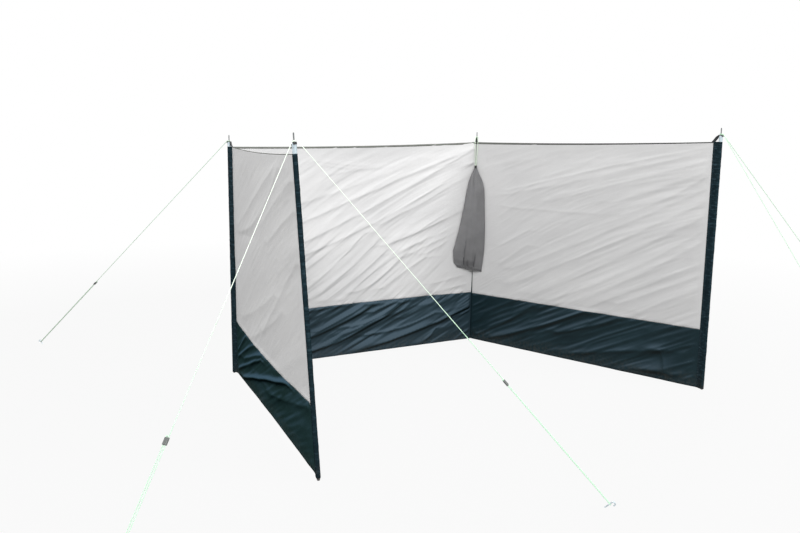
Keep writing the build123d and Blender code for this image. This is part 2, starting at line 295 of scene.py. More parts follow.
# strands that wind round a cord, whichever way the cord runs
def fillBraid(tree, place, pitch):
    x, y, z = tree.split(place)
    turns = tree.math("DIVIDE", 2 * math.pi, pitch)
    right = tree.math("SINE", (z + x * 0.8) * turns)
    left = tree.math("SINE", (z - y * 0.8) * turns)
    return {"Height": tree.math("MAXIMUM", right, left), "Fleck": (right * left).span(0.55, 0.8)}


grey = (0.5, 0.5, 0.5, 1)
makeGroup("weave", fillWeave, Vector=None, Yarns=1000.0, Slub=0.35)
makeGroup("packingCreases", fillCreases, Vector=None, Scale=9.0, Stretch=3.0)
makeGroup("stitchRow", fillStitches, Along=0.0, Across=0.0, Row=0.0, Pitch=0.0035, Width=0.0011)
makeGroup("groundDust", fillSoil, Vector=None, Height=0.1, Amount=0.4)
makeGroup("mottle", fillMottle, Vector=None, Scale=4.0, Dark=grey, Light=grey)
makeGroup("drawnSteel", fillDrawn, Vector=None, Spangle=170.0)
makeGroup("braid", fillBraid, Vector=None, Pitch=0.0024)
print("node groups made,", len(groups))


def newMaterial(name):
    material = bpy.data.materials.new(name)
    tree = emptyTree(material)
    shader = tree.tree.nodes.new("ShaderNodeBsdfPrincipled")
    tree.finish("Material", Signal(tree, shader.outputs["BSDF"]))
    coordinates = tree.tree.nodes.new("ShaderNodeTexCoord")
    place, uv = (Signal(tree, coordinates.outputs[label]) for label in ("Object", "UV"))
    return material, tree, shader, place, uv


def feedShader(tree, shader, values):
    for label, value in values.items():
        tree.feed(shader.inputs[label], value)


def solid(color):
    return (*color, 1)


plainCloth = {
    "yarns": 1000.0, "weaveDepth": 0.00010,
    "roughness": 0.55, "specular": 0.1, "gloss": 0.0, "soil": (0.1, 0.0),
}
# Each cloth's tones, its colour for the painted sheen where it faces up and for the painted shade in a
# crease, and its thread's colour.
# Packing is the scale and depth of its small creases, soil the height and amount of splashes.
clothLooks = {
    "paleCloth": {
        "dark": (0.655, 0.653, 0.655), "light": (0.720, 0.718, 0.716),
        "paintedSheenTone": (0.80, 0.80, 0.80), "paintedCreaseShade": (0.47, 0.47, 0.475), "thread": (0.42, 0.42, 0.42),
        "mottle": 1.6, "weaveDepth": 0.00012, "packing": (11.0, 0.0034),
    },
    "navyCloth": {
        "dark": (0.0072, 0.0190, 0.0235), "light": (0.0125, 0.0300, 0.0370),
        "paintedSheenTone": (0.062, 0.098, 0.128), "paintedCreaseShade": (0.0030, 0.0085, 0.0095),
        "thread": (0.070, 0.095, 0.110),
        "mottle": 5.0, "packing": (14.0, 0.0030), "specular": 0.0, "gloss": 0.18, "soil": (0.10, 0.45),
    },
    "sleeveCloth": {
        "dark": (0.0047, 0.0124, 0.0166), "light": (0.0083, 0.0210, 0.0275),
        "paintedSheenTone": (0.046, 0.088, 0.114), "paintedCreaseShade": (0.0025, 0.0062, 0.0080),
        "thread": (0.070, 0.095, 0.110),
        "mottle": 9.0, "packing": (26.0, 0.0014), "specular": 0.0, "gloss": 0.12, "soil": (0.10, 0.45),
    },
    "bagCloth": {
        "dark": (0.170, 0.170, 0.174), "light": (0.215, 0.215, 0.220),
        "paintedSheenTone": (0.26, 0.26, 0.265), "paintedCreaseShade": (0.075, 0.075, 0.077), "thread": (0.10, 0.10, 0.10),
        "mottle": 7.0, "yarns": 900.0, "weaveDepth": 0.00012, "packing": (22.0, 0.0012), "roughness": 0.60,
    },
    "bindingTape": {
        "dark": (0.150, 0.158, 0.142), "light": (0.205, 0.214, 0.196),
        "paintedSheenTone": (0.24, 0.25, 0.235), "paintedCreaseShade": (0.045, 0.047, 0.045), "thread": (0.20, 0.20, 0.20),
        "mottle": 20.0, "yarns": 650.0, "weaveDepth": 0.00020, "packing": (30.0, 0.0006), "roughness": 0.72,
    },
}
# the left mud band's own copy of the navy cloth: greener, and painted lighter because less light falls on
# that band; its painted sheen colour is its own too
clothLooks["greenNavyClothPaintedLighter"] = {
    **clothLooks["navyCloth"],
    "dark": (0.0125, 0.0310, 0.0275), "light": (0.0165, 0.0390, 0.0400), "paintedSheenTone": (0.052, 0.100, 0.140),
}
splashedSoil = (0.16, 0.13, 0.095)


# rows of stitches run along the cloth and endRows up it, at their distance in metres
def makeCloth(name, rows=(), endRows=(), puckerSheen=0.0):
    look = {**plainCloth, **clothLooks[name]}
    material, tree, shader, place, uv = newMaterial(name + "Sewn")
    u, v, _ = tree.split(uv)
    weave = tree.place("weave", Vector=uv, Yarns=look["yarns"])
    creases = tree.place("packingCreases", Vector=uv, Scale=look["packing"][0])
    tones = {"Dark": solid(look["dark"]), "Light": solid(look["light"])}
    mottle = tree.place("mottle", Vector=place, Scale=look["mottle"], **tones)
    soilHeight, soilAmount = look["soil"]
    soil = tree.place("groundDust", Vector=place, Height=soilHeight, Amount=soilAmount)
    yarnTone = weave["Tone"].span(0.2, 0.8, 0.0, 0.16)
    color = tree.mix(yarnTone, mottle["Color"], solid(c * 0.6 for c in look["dark"]))
    # the painted sheen and the painted crease shade blend the colour towards these two tones
    for attribute, paintedTone in (("paintedSheenMask", "paintedSheenTone"), ("paintedShadeMask", "paintedCreaseShade")):
        painted = tree.node("Attribute", {}, "Fac", attribute_name=attribute)
        color = tree.mix(painted, color, solid(look[paintedTone]))
    # painted sheen in stripes over the sleeve's puckers, at this strength
    if puckerSheen:
        sheenStripes = tree.noise(tree.join(u * 28.0, v * 105.0, 0.0), 1.0, 2.0, 0.6)
        color = tree.mix(sheenStripes.span(0.52, 0.74, 0.0, puckerSheen), color, solid(look["paintedSheenTone"]))
    color = tree.mix(soil["Mask"], color, solid(splashedSoil))
    dips = 0.0
    for along, across, at in [(u, v, row) for row in rows] + [(v, u, row) for row in endRows]:
        stitch = tree.place("stitchRow", Along=along, Across=across, Row=at)
        color = tree.mix(stitch["Mask"], color, solid(look["thread"]))
        dips = stitch["Dip"] - stitch["Mask"] + dips
    if look["gloss"]:
        facing = tree.node("LayerWeight", {"Blend": 0.5}, "Facing")
        coat = facing.span(0.30, 0.62, look["gloss"], 0.0)
        feedShader(tree, shader, {"Coat Weight": coat, "Coat Roughness": 0.38})
    normal = tree.bump(creases["Height"], 0.6, look["packing"][1])
    normal = tree.bump(dips * -1.0, 0.6, 0.0008, normal)
    rough = mottle["Fac"].span(0.0, 1.0, look["roughness"] - 0.04, look["roughness"] + 0.05)
    feedShader(tree, shader, {
        "Base Color": color,
        "Roughness": rough + soil["Mask"] * 0.4,
        "Specular IOR Level": look["specular"],
        "Normal": tree.bump(weave["Height"], 0.5, look["weaveDepth"], normal),
    })
    return material


# heights of the stitch rows are counted up the cloth from the panel's bottom hem
hemFold = 0.018
seamHeight = 0.305        # mud band, from its hem to the seam
bandRows = (hemFold - 0.002, seamHeight - 0.003)
materials = {
    "paleCloth": makeCloth("paleCloth", rows=(seamHeight + 0.003, seamHeight + 0.010)),
    "mudBand": makeCloth("navyCloth", rows=bandRows),
    "leftMudBand": makeCloth("greenNavyClothPaintedLighter", rows=bandRows),
    "sleeve": makeCloth("sleeveCloth", endRows=(0.003, 0.010), puckerSheen=0.55),
    "bag": makeCloth("bagCloth", rows=(0.007,)),
    "bindingTape": makeCloth("bindingTape", rows=(0.0075,)),
}


def makeWebbing():
    material, tree, shader, place, uv = newMaterial("blackWebbing")
    u, v, _ = tree.split(uv)
    ribs = tree.math("SINE", v * (2 * math.pi / 0.0016))
    warp = tree.math("SINE", u * (2 * math.pi / 0.0011))
    fuzz = tree.noise(place, 900.0, 4.0)
    stitch = tree.place("stitchRow", Along=u, Across=v, Row=0.010, Pitch=0.0028, Width=0.0010)
    color = tree.mix(fuzz.span(0.3, 0.7), (0.006, 0.008, 0.009, 1), (0.016, 0.019, 0.021, 1))
    feedShader(tree, shader, {
        "Base Color": tree.mix(stitch["Mask"], color, (0.05, 0.06, 0.06, 1)),
        "Roughness": fuzz.span(0.2, 0.8, 0.7, 0.88),
        "Sheen Weight": 0.3,
        "Normal": tree.bump(ribs * 0.7 + warp * 0.3, 0.7, 0.0003),
    })
    return material


# a guy line's colour is darker towards its lower end
def makeCord(name, lightTone, dull):
    material, tree, shader, place, _ = newMaterial(name)
    braid = tree.place("braid", Vector=place)
    height = tree.split(place)[2] + tree.noise(place, 3.0).span(0.3, 0.7, -0.08, 0.08)
    color = tree.mix(height.span(0.55, 0.90), solid(dull), solid(lightTone))
    feedShader(tree, shader, {
        "Base Color": tree.mix(braid["Fleck"] * 0.25, color, (0.88, 0.92, 0.84, 1)),
        "Roughness": braid["Height"].span(-1.0, 1.0, 0.85, 0.6),
        "Sheen Weight": 0.2,
        "Normal": tree.bump(braid["Height"], 0.4, 0.0003),
    })
    return material


def makeSteel(name, dark, light, scuffed):
    material, tree, shader, place, _ = newMaterial(name)
    drawn = tree.place("drawnSteel", Vector=place)
    soil = tree.place("groundDust", Vector=place, Height=0.06, Amount=0.8)
    color = tree.mix(drawn["Scuff"], tree.mix(drawn["Streak"], solid(dark), solid(light)), solid(scuffed))
    feedShader(tree, shader, {
        "Base Color": tree.mix(soil["Mask"], color, (0.20, 0.16, 0.11, 1)),
        "Metallic": soil["Mask"].span(0.0, 1.0, 0.9, 0.2),
        "Roughness": drawn["Streak"].span(0.3, 0.7, 0.34, 0.46) + drawn["Scuff"] * 0.2,
        "Normal": tree.bump(drawn["Height"], 0.3, 0.0002),
    })
    return material


def makePlastic(name, dark, light, roughness, dusty):
    material, tree, shader, place, _ = newMaterial(name)
    mottle = tree.place("mottle", Vector=place, Scale=60.0, Dark=solid(dark), Light=solid(light))
    soil = tree.place("groundDust", Vector=place, Height=0.03, Amount=dusty)
    grain = tree.noise(place, 1800.0, 3.0, 0.6)
    feedShader(tree, shader, {
        "Base Color": tree.mix(soil["Mask"], mottle["Color"], (0.22, 0.18, 0.13, 1)),
        "Roughness": grain.span(0.3, 0.7, roughness - 0.06, roughness + 0.08),
        "Normal": tree.bump(grain, 0.35, 0.0001),
    })
    return material


materials["webbing"] = makeWebbing()
materials["limeCord"] = makeCord("limeCord", (0.52, 0.80, 0.56), (0.50, 0.74, 0.50))
materials["paleCord"] = makeCord("paleCord", (0.84, 0.94, 0.82), (0.54, 0.86, 0.60))
materials["bagCord"] = makeCord("bagCord", (0.78, 0.95, 0.74), (0.78, 0.95, 0.74))
materials["steel"] = makeSteel("galvanisedSteel", (0.40, 0.49, 0.54), (0.60, 0.68, 0.72), (0.30, 0.34, 0.36))
materials["pinSteel"] = makeSteel("pinSteel", (0.13, 0.14, 0.14), (0.22, 0.23, 0.23), (0.09, 0.09, 0.09))
materials["footPlastic"] = makePlastic(
    "footPlastic", (0.028, 0.030, 0.032), (0.050, 0.053, 0.056), 0.50, 0.9)
materials["runnerPlastic"] = makePlastic(
    "runnerPlastic", (0.095, 0.105, 0.100), (0.135, 0.146, 0.140), 0.42, 0.3)
materials["blackPlastic"] = makePlastic(
    "blackPlastic", (0.030, 0.033, 0.032), (0.050, 0.054, 0.052), 0.38, 0.0)
print("materials made,", len(materials))


# camera, floor and lights
camera = {
    "place": (-1.1952, -4.6419, 1.4168), "towards": (0.4508, 0.8926),
    "pitch": 9.357, "roll": -0.7766, "lens": 35.553,
}
lamps = {
    "key": {"place": (-3.0, -6.0, 5.6), "aim": (0.9, -0.8, 0.9), "size": 2.8, "power": 440},
    "fill": {"place": (4.6, -5.4, 4.2), "aim": (1.4, -0.6, 0.7), "size": 3.0, "power": 300},
    "side": {"place": (-3.4, -0.6, 2.4), "aim": (0.0, -0.85, 0.8), "size": 2.0, "power": 19},
    "back": {"place": (-1.8, 6.0, 4.4), "aim": (0.8, 0.0, 0.8), "size": 3.4, "power": 60},
}
skyStrength = 0.50
floorWhite = {"from": 2.6, "to": 6.5, "near": 0.93}      # its white grows with the distance


def addCamera():
    look = Vector((*camera["towards"], 0)).normalized()
    right = Vector((look.y, -look.x, 0))
    pitch, roll = math.radians(camera["pitch"]), math.radians(camera["roll"])
    forward = look * math.cos(pitch) - Vector((0, 0, math.sin(pitch)))
    up = look * math.sin(pitch) + Vector((0, 0, math.cos(pitch)))
    across = math.cos(roll) * right + math.sin(roll) * up
    above = -math.sin(roll) * right + math.cos(roll) * up
    bpy.ops.object.camera_add()
    made = bpy.context.active_object
    turn = Matrix((across, above, -forward)).transposed().to_4x4()
    made.matrix_world = Matrix.Translation(Vector(camera["place"])) @ turn
    made.data.lens = camera["lens"]
    made.data.sensor_width = 36
    made.data.clip_end = 200
    bpy.context.scene.camera = made


def addLamps():
    for name, facts in lamps.items():
        place = Vector(facts["place"])
        bpy.ops.object.light_add(type="AREA", location=place)
        lamp = bpy.context.active_object
        lamp.name = name + "Lamp"
        lamp.rotation_euler = (Vector(facts["aim"]) - place).to_track_quat("-Z", "Y").to_euler()
        lamp.data.size = facts["size"]
        lamp.data.energy = facts["power"]


def cameraMask(tree):
    rays = tree.tree.nodes.new("ShaderNodeLightPath")
    seen, glossy, through = (
        Signal(tree, rays.outputs["Is " + kind + " Ray"]) for kind in ("Camera", "Glossy", "Transmission"))
    return tree.math("MAXIMUM", tree.math("MAXIMUM", seen, glossy), through)


def addWorld():
    world = bpy.data.worlds.new("studio")
    bpy.context.scene.world = world
    tree = emptyTree(world)
    strength = cameraMask(tree).span(0.0, 1.0, skyStrength, 1.0)
    tree.finish("World", tree.node("Background", {"Color": (1, 1, 1, 1), "Strength": strength}))


def addFloor():
    deselectAll()
    bpy.ops.mesh.primitive_plane_add(size=60)
    floor = bpy.context.active_object
    floor.name = "studioFloor"
    material = bpy.data.materials.new("studioFloor")
    tree = emptyTree(material)
    matte = tree.node("BsdfDiffuse", {"Color": (0.22, 0.22, 0.218, 1)})
    white = tree.node("Emission", {"Color": (1, 1, 1, 1)})
    place = tree.node("TexCoord", {}, "Object")
    far = tree.node("VectorMath", {0: place}, "Value", operation="LENGTH")
    share = far.span(floorWhite["from"], floorWhite["to"], floorWhite["near"], 1.0) * cameraMask(tree)
    tree.finish("Material", tree.node("MixShader", {0: share, 1: matte, 2: white}))
    floor.data.materials.append(material)


addCamera()
addLamps()
addWorld()
addFloor()
bpy.context.scene.view_settings.view_transform = "Standard"
print("camera, lamps and floor set")


# a sheet of quads from an array of points, rows by columns, with its UVs in metres
def gridPiece(name, points, uv):
    down, along = points.shape[:2]
    deselectAll()
    bpy.ops.mesh.primitive_grid_add(x_subdivisions=along - 1, y_subdivisions=down - 1, size=1, calc_uvs=True)
    piece = bpy.context.active_object
    piece.name = name
    mesh = piece.data
    mesh.vertices.foreach_set("co", points.reshape(-1).astype(np.float32))
    corners = np.empty(len(mesh.loops), dtype=np.int32)
    mesh.loops.foreach_get("vertex_index", corners)
    mesh.uv_layers.active.data.foreach_set("uv", uv.reshape(-1, 2)[corners].reshape(-1).astype(np.float32))
    mesh.update()
    bpy.ops.object.shade_smooth()
    return piece


def applyModifier(piece, kind, **settings):
    makeActive(piece)
    added = piece.modifiers.new(kind.lower(), kind)
    for name, value in settings.items():
        setattr(added, name, value)
    bpy.ops.object.modifier_apply(modifier=added.name)


def thicken(piece, thickness, offset=0.0):
    applyModifier(piece, "SOLIDIFY", thickness=thickness, offset=offset, use_quality_normals=True)


# painted sheen where each point of a sheet faces up, and painted shade where it lies in a crease
def paintSheenAndShade(piece, slope, paintedCreaseShade):
    for name, values in (("paintedSheenMask", slope), ("paintedShadeMask", paintedCreaseShade)):
        layer = piece.data.attributes.new(name, "FLOAT", "POINT")
        layer.data.foreach_set("value", np.clip(values, 0, 1).reshape(-1).astype(np.float32))


def finishPiece(piece, materialName):
    piece.data.materials.clear()
    piece.data.materials.append(materials[materialName])
    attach(piece, "root")


def unit(vectors, axis):
    return vectors / np.linalg.norm(vectors, axis=axis, keepdims=True)


# smooth noise between -1 and 1 on a lattice of seeded numbers
def softNoise(x, y, seed):
    table = np.random.default_rng(seed).random((97, 97)) * 2 - 1
    column, row = np.floor(x).astype(int), np.floor(y).astype(int)
    right, up = smoothStep(x - column), smoothStep(y - row)

    def knot(i, j):
        return table[(row + j) % 97, (column + i) % 97]

    low = knot(0, 0) * (1 - right) + knot(1, 0) * right
    high = knot(0, 1) * (1 - right) + knot(1, 1) * right
    return low * (1 - up) + high * up


# the same noise with its ups and downs turned into narrow creases
def ridges(x, y, seed):
    return 0.55 - 1.7 * np.abs(softNoise(x, y, seed))


# Hem and seam are heights at the near pole and the far one, and how far they rise between.
# A fold is: width above its crest, width below it, height (m, m, mm), and the crest from
# the near pole to the far one, as a share of the panel's width and a height in metres.
# Calm, shine and darker tone are soft patches: a share of the width, a height, and their size; the shine is a
# painted highlight and the darker tone painted shade.
panels = {
    "left": {
        "near": "left_corner", "far": "left_end", "angles": (-93.5, 86.5), "outer": 1,
        "hem": (0.009, 0.014, 0.005), "seam": (0.332, 0.328, -0.027), "topRise": -0.013,
        "bindingLeg": (0.0030, 0.0030), "bindingPaintedShade": (0.0, 0.0),
        "fan": ((0.33, 30), (0.8, 26), (1.37, 15)), "bandLean": 24, "fine": 0.0005,
        "gathers": 0.0003, "gatherReach": 0.020, "paintedSheen": (0.06, 1.2), "greyCrease": 0.3, "seed": 11,
        "shine": (
            (0.42, 0.158, 0.12, 0.012, 0.30), (0.36, 0.10, 0.10, 0.03, 0.12), (0.86, 0.20, 0.10, 0.03, 0.08),
        ),
        "folds": (
            (0.05, 0.02, 4, ((0.108, 0.887), (0.418, 0.999), (0.632, 1.125), (0.809, 1.293))),
            (0.04, 0.02, 3, ((0.112, 0.93), (0.368, 1.085), (0.592, 1.206), (0.761, 1.291))),
            (0.04, 0.02, 3, ((0.503, 0.984), (0.733, 1.129), (0.95, 1.243))),
            (0.03, 0.015, 3, ((0.6, 0.922), (0.81, 1.044), (0.947, 1.118))),
            (0.04, 0.02, 3, ((0.482, 0.444), (0.678, 0.638), (0.809, 0.779), (0.948, 0.902))),
            (0.05, 0.03, 4, ((0.164, 0.409), (0.444, 0.553), (0.662, 0.686))),
            (0.05, 0.03, 4, ((0.278, 0.326), (0.538, 0.482), (0.743, 0.625))),
            (0.04, 0.05, -3, ((0.11, 0.885), (0.25, 0.891), (0.4, 0.908))),
        ),
        "bandFolds": (
            (0.016, 0.010, 8, ((0.128, 0.033), (0.36, 0.132), (0.536, 0.21), (0.669, 0.263),
                               (0.754, 0.292))),
            (0.014, 0.014, 5, ((0.0, 0.021), (0.222, 0.15), (0.433, 0.268))),
            (0.020, 0.020, 4, ((0.155, 0.153), (0.31, 0.234), (0.437, 0.293))),
            (0.014, 0.014, 4, ((0.057, 0.13), (0.196, 0.224), (0.334, 0.312))),
            (0.012, 0.012, 3, ((0.05, 0.164), (0.128, 0.238), (0.194, 0.3))),
            (0.04, 0.018, 2.6, ((0.52, 0.125), (0.62, 0.165), (0.702, 0.18), (0.836, 0.24),
                                (0.971, 0.295))),
            (0.03, 0.02, 3, ((0.932, 0.019), (0.994, 0.034), (1.02, 0.035))),
        ),
    },
    "back": {
        "near": "left_corner", "far": "right_corner", "angles": (0, 180), "outer": -1,
        "hem": (0.024, 0.002, 0.0), "seam": (0.346, 0.333, 0.011), "topRise": -0.010,
        "bindingLeg": (0.0044, 0.0018), "bindingPaintedShade": (0.0, 0.0),
        "fan": ((0.33, 32), (0.75, 37), (1.1, 28), (1.37, 20)), "bandLean": 24, "fine": 0.0016,
        "gathers": 0.0030, "gatherReach": 0.034, "paintedSheen": (0.26, 1.5), "greyCrease": 0.9, "seed": 23,
        "calm": ((0.11, 1.0), (0.16, 0.24)),
        "shine": ((0.30, 0.055, 0.16, 0.05, 0.30), (0.62, 0.07, 0.10, 0.05, 0.12)),
        "dull": (
            (0.35, 1.42, 0.55, 0.17, 0.52), (0.50, 0.52, 0.13, 0.16, 0.30),
            (0.62, 0.92, 0.14, 0.09, 0.10), (0.86, 0.78, 0.07, 0.18, 0.10),
        ),
        "folds": (
            (0.05, 0.014, 5, ((0.2, 0.859), (0.449, 1.019), (0.646, 1.14), (0.847, 1.247), (0.982, 1.337))),
            (0.05, 0.014, 5, ((0.18, 0.719), (0.506, 0.952), (0.631, 1.037), (0.781, 1.149),
                              (0.982, 1.329))),
            (0.04, 0.012, 4, ((0.24, 0.679), (0.548, 0.876), (0.664, 0.946), (0.794, 1.05),
                              (0.877, 1.144), (0.984, 1.229))),
            (0.03, 0.012, 3, ((0.579, 0.857), (0.74, 0.972), (0.901, 1.092), (0.986, 1.171))),
            (0.07, 0.010, 6, ((0.604, 0.717), (0.742, 0.783), (0.842, 0.855), (0.933, 0.905))),
            (0.03, 0.012, 3, ((0.634, 0.655), (0.743, 0.716), (0.906, 0.806))),
            (0.02, 0.01, 3, ((0.689, 0.631), (0.799, 0.701), (0.907, 0.764))),
            (0.02, 0.01, 3, ((0.778, 0.636), (0.902, 0.73))),
            (0.04, 0.015, 3, ((0.08, 0.47), (0.266, 0.665), (0.364, 0.769), (0.475, 0.892))),
            (0.03, 0.012, 3, ((0.27, 0.601), (0.389, 0.734), (0.485, 0.851))),
            (0.03, 0.012, 5, ((0.1, 0.33), (0.275, 0.483), (0.399, 0.63), (0.506, 0.808))),
            (0.03, 0.012, 4, ((0.289, 0.409), (0.425, 0.555), (0.528, 0.694), (0.574, 0.768))),
            (0.03, 0.012, 4, ((0.349, 0.391), (0.476, 0.522), (0.602, 0.684))),
            (0.03, 0.012, 4, ((0.42, 0.386), (0.55, 0.527), (0.634, 0.655), (0.743, 0.708))),
            (0.03, 0.012, 5, ((0.477, 0.425), (0.613, 0.551), (0.678, 0.65))),
            (0.02, 0.01, 4, ((0.593, 0.431), (0.69, 0.539), (0.778, 0.611))),
            (0.02, 0.01, 1.5, ((0.326, 1.27), (0.434, 1.247), (0.535, 1.234))),
            (0.02, 0.01, 1.5, ((0.35, 1.243), (0.449, 1.223), (0.551, 1.224))),
            (0.02, 0.01, 1.5, ((0.365, 1.188), (0.464, 1.206), (0.546, 1.218))),
            (0.04, 0.02, 3, ((0.1, 0.969), (0.316, 1.039), (0.424, 1.084), (0.577, 1.192), (0.736, 1.272))),
            (0.02, 0.01, 3, ((0.832, 0.425), (0.919, 0.454), (1.0, 0.468))),
            (0.02, 0.01, 3, ((0.862, 0.368), (1.0, 0.406))),
        ),
        "bandFolds": (
            (0.014, 0.007, 3.4, ((0.435, 0.195), (0.514, 0.218), (0.601, 0.259), (0.658, 0.32))),
            (0.014, 0.007, 3.2, ((0.551, 0.278), (0.599, 0.305), (0.647, 0.327))),
            (0.014, 0.007, 2.8, ((0.297, 0.285), (0.349, 0.314), (0.399, 0.341))),
            (0.014, 0.007, 2.6, ((0.691, 0.213), (0.743, 0.246), (0.795, 0.282))),
            (0.014, 0.007, 3.4, ((0.52, 0.129), (0.653, 0.141), (0.757, 0.179), (0.823, 0.217))),
            (0.014, 0.007, 3.2, ((0.317, 0.196), (0.386, 0.234), (0.457, 0.293), (0.508, 0.331))),
            (0.014, 0.007, 2.6, ((0.851, 0.148), (0.923, 0.173), (0.99, 0.203))),
            (0.05, 0.012, 7, ((0.283, 0.159), (0.381, 0.209), (0.481, 0.277), (0.542, 0.326))),
            (0.05, 0.015, 7, ((0.2, 0.053), (0.287, 0.075), (0.39, 0.103), (0.492, 0.162),
                              (0.627, 0.274), (0.69, 0.327))),
            (0.06, 0.012, 8, ((0.492, 0.032), (0.618, 0.066), (0.759, 0.115), (0.87, 0.181),
                              (0.996, 0.234))),
            (0.04, 0.02, 5, ((0.431, 0.159), (0.522, 0.197), (0.616, 0.243), (0.734, 0.287))),
            (0.02, 0.01, 4, ((0.283, 0.33), (0.332, 0.337), (0.39, 0.346))),
            (0.02, 0.01, 4, ((0.765, 0.02), (0.804, 0.063), (0.831, 0.108))),
            (0.05, 0.02, 6, ((0.03, 0.031), (0.12, 0.102), (0.2, 0.192), (0.26, 0.3))),
            (0.04, 0.02, 5, ((0.0, 0.1), (0.07, 0.171), (0.13, 0.27))),
        ),
    },
    "right": {
        "near": "right_corner", "far": "right_end", "angles": (-72.4, 107.6), "outer": -1,
        "hem": (0.002, 0.005, 0.0), "seam": (0.328, 0.339, 0.0), "topRise": -0.008,
        "bindingLeg": (0.0018, 0.0100), "bindingPaintedShade": (0.0, 1.0),
        "fan": ((0.33, 28), (0.8, 25), (1.0, 20), (1.2, 13), (1.37, 10)), "bandLean": 25, "fine": 0.0012,
        "gathers": 0.0006, "gatherReach": 0.020, "paintedSheen": (0.03, 0.9), "greyCrease": 0.5, "seed": 37,
        "folds": (
            (0.014, 0.006, 2.4, ((0.177, 1.057), (0.393, 1.134), (0.608, 1.219), (0.802, 1.282),
                                 (0.978, 1.334))),
            (0.04, 0.02, 3, ((0.056, 1.003), (0.394, 1.096), (0.583, 1.169), (0.804, 1.248),
                             (0.984, 1.317))),
            (0.04, 0.02, 3, ((0.374, 1.005), (0.613, 1.099), (0.806, 1.192), (0.992, 1.267))),
            (0.04, 0.02, 3, ((0.65, 1.016), (0.81, 1.101), (0.983, 1.208))),
            (0.04, 0.02, 4, ((0.686, 0.944), (0.813, 1.025), (0.985, 1.181))),
            (0.05, 0.02, 4, ((0.209, 0.533), (0.392, 0.676), (0.553, 0.806), (0.754, 0.902),
                             (0.874, 1.03), (0.982, 1.122))),
            (0.05, 0.02, 4, ((0.203, 0.439), (0.456, 0.611), (0.625, 0.754), (0.817, 0.909),
                             (0.985, 1.039))),
            (0.05, 0.02, 4, ((0.313, 0.395), (0.504, 0.522), (0.695, 0.713), (0.851, 0.845),
                             (0.988, 0.966))),
            (0.05, 0.02, 4, ((0.386, 0.366), (0.564, 0.481), (0.763, 0.664), (0.992, 0.892))),
            (0.04, 0.02, 4, ((0.464, 0.35), (0.701, 0.541), (0.857, 0.691), (0.994, 0.836))),
            (0.04, 0.02, 4, ((0.568, 0.364), (0.768, 0.524), (0.994, 0.714))),
            (0.04, 0.02, 4, ((0.686, 0.413), (0.833, 0.518), (0.991, 0.647))),
            (0.04, 0.02, 4, ((0.774, 0.383), (0.994, 0.572))),
            (0.03, 0.015, 3, ((0.145, 0.684), (0.284, 0.804))),
            (0.03, 0.015, 3, ((0.148, 0.568), (0.279, 0.704))),
            (0.02, 0.01, 1.5, ((0.084, 0.954), (0.321, 0.941), (0.548, 0.941))),
        ),
        "bandFolds": (
            (0.05, 0.015, 7, ((0.077, 0.019), (0.242, 0.112), (0.381, 0.204), (0.552, 0.328))),
            (0.04, 0.015, 6, ((0.442, 0.167), (0.583, 0.243), (0.694, 0.323))),
            (0.04, 0.015, 4, ((0.041, 0.044), (0.159, 0.146), (0.316, 0.307))),
            (0.06, 0.02, 7, ((0.686, -0.009), (0.801, 0.04), (0.886, 0.049))),
            (0.04, 0.02, 4, ((0.469, 0.036), (0.589, 0.073), (0.733, 0.138), (0.881, 0.183))),
            (0.03, 0.02, 5, ((0.857, 0.176), (0.878, 0.115), (0.886, 0.049))),
            (0.03, 0.015, 4, ((0.887, 0.176), (0.95, 0.223), (0.994, 0.247))),
        ),
    },
}
cloth = {
    "cell": 0.0066,
    "endReach": 0.008,          # where the cloth ends on an end pole's sleeve
    "foldsFrom": 0.034,         # the folds' widths are counted to here
    "foldFade": (0.10, 0.16),   # a fold runs on past its ends, and fades over this length
    "waver": 0.0012,
    # from here above the seam down, the mud band's folds take over from the grey cloth's
    "bandFrom": (0.035, -0.05),
    "bandRelief": 1.7,
    "bandFine": 2.0,
    "broadWaves": 0.0036,
    "calming": 0.85,
    # the share of its relief that the cloth keeps at an edge, and how far from it that grows
    "topEase": (0.30, 0.10), "hemEase": (0.45, 0.06),
    # it lies flatter beside the bag, from the corner to here and between two heights
    "bagSide": (0.27, -0.08), "bagLow": (0.42, 0.06), "bagHigh": (1.24, -0.06), "bagEase": 0.65,
    # beside a corner: clear of the seam, and free of the sleeve
    "cornerSeam": (0.003, 0.03), "cornerFree": (0.045, 0.05),
    "endFree": (0.034, 0.05), "pocketEnds": (0.080, -0.040), "pocketStand": 0.0012,
    "sheenGain": 2.6, "creaseGain": 2.2, "toneCurve": 1.2,
    # the turned hem's rows: up the cloth, behind it, and their drop in the UVs
    "hemRows": ((0.016, 0.0014, 0.016), (0.0072, 0.0016, 0.008), (-0.0006, 0.0008, 0.0012)),
    "bindingThickness": 0.0006,
    "bindingLegs": 0.0145,      # both sides of the binding together
}


# how far the sleeve's pocket stands off the panel's middle plane, at a reach from the pole
def pocketHalf(reach):
    return np.interp(reach, (0.0, 0.004, 0.030, 0.038, 0.044), (0.0101, 0.0098, 0.0012, 0.0010, 0.0))


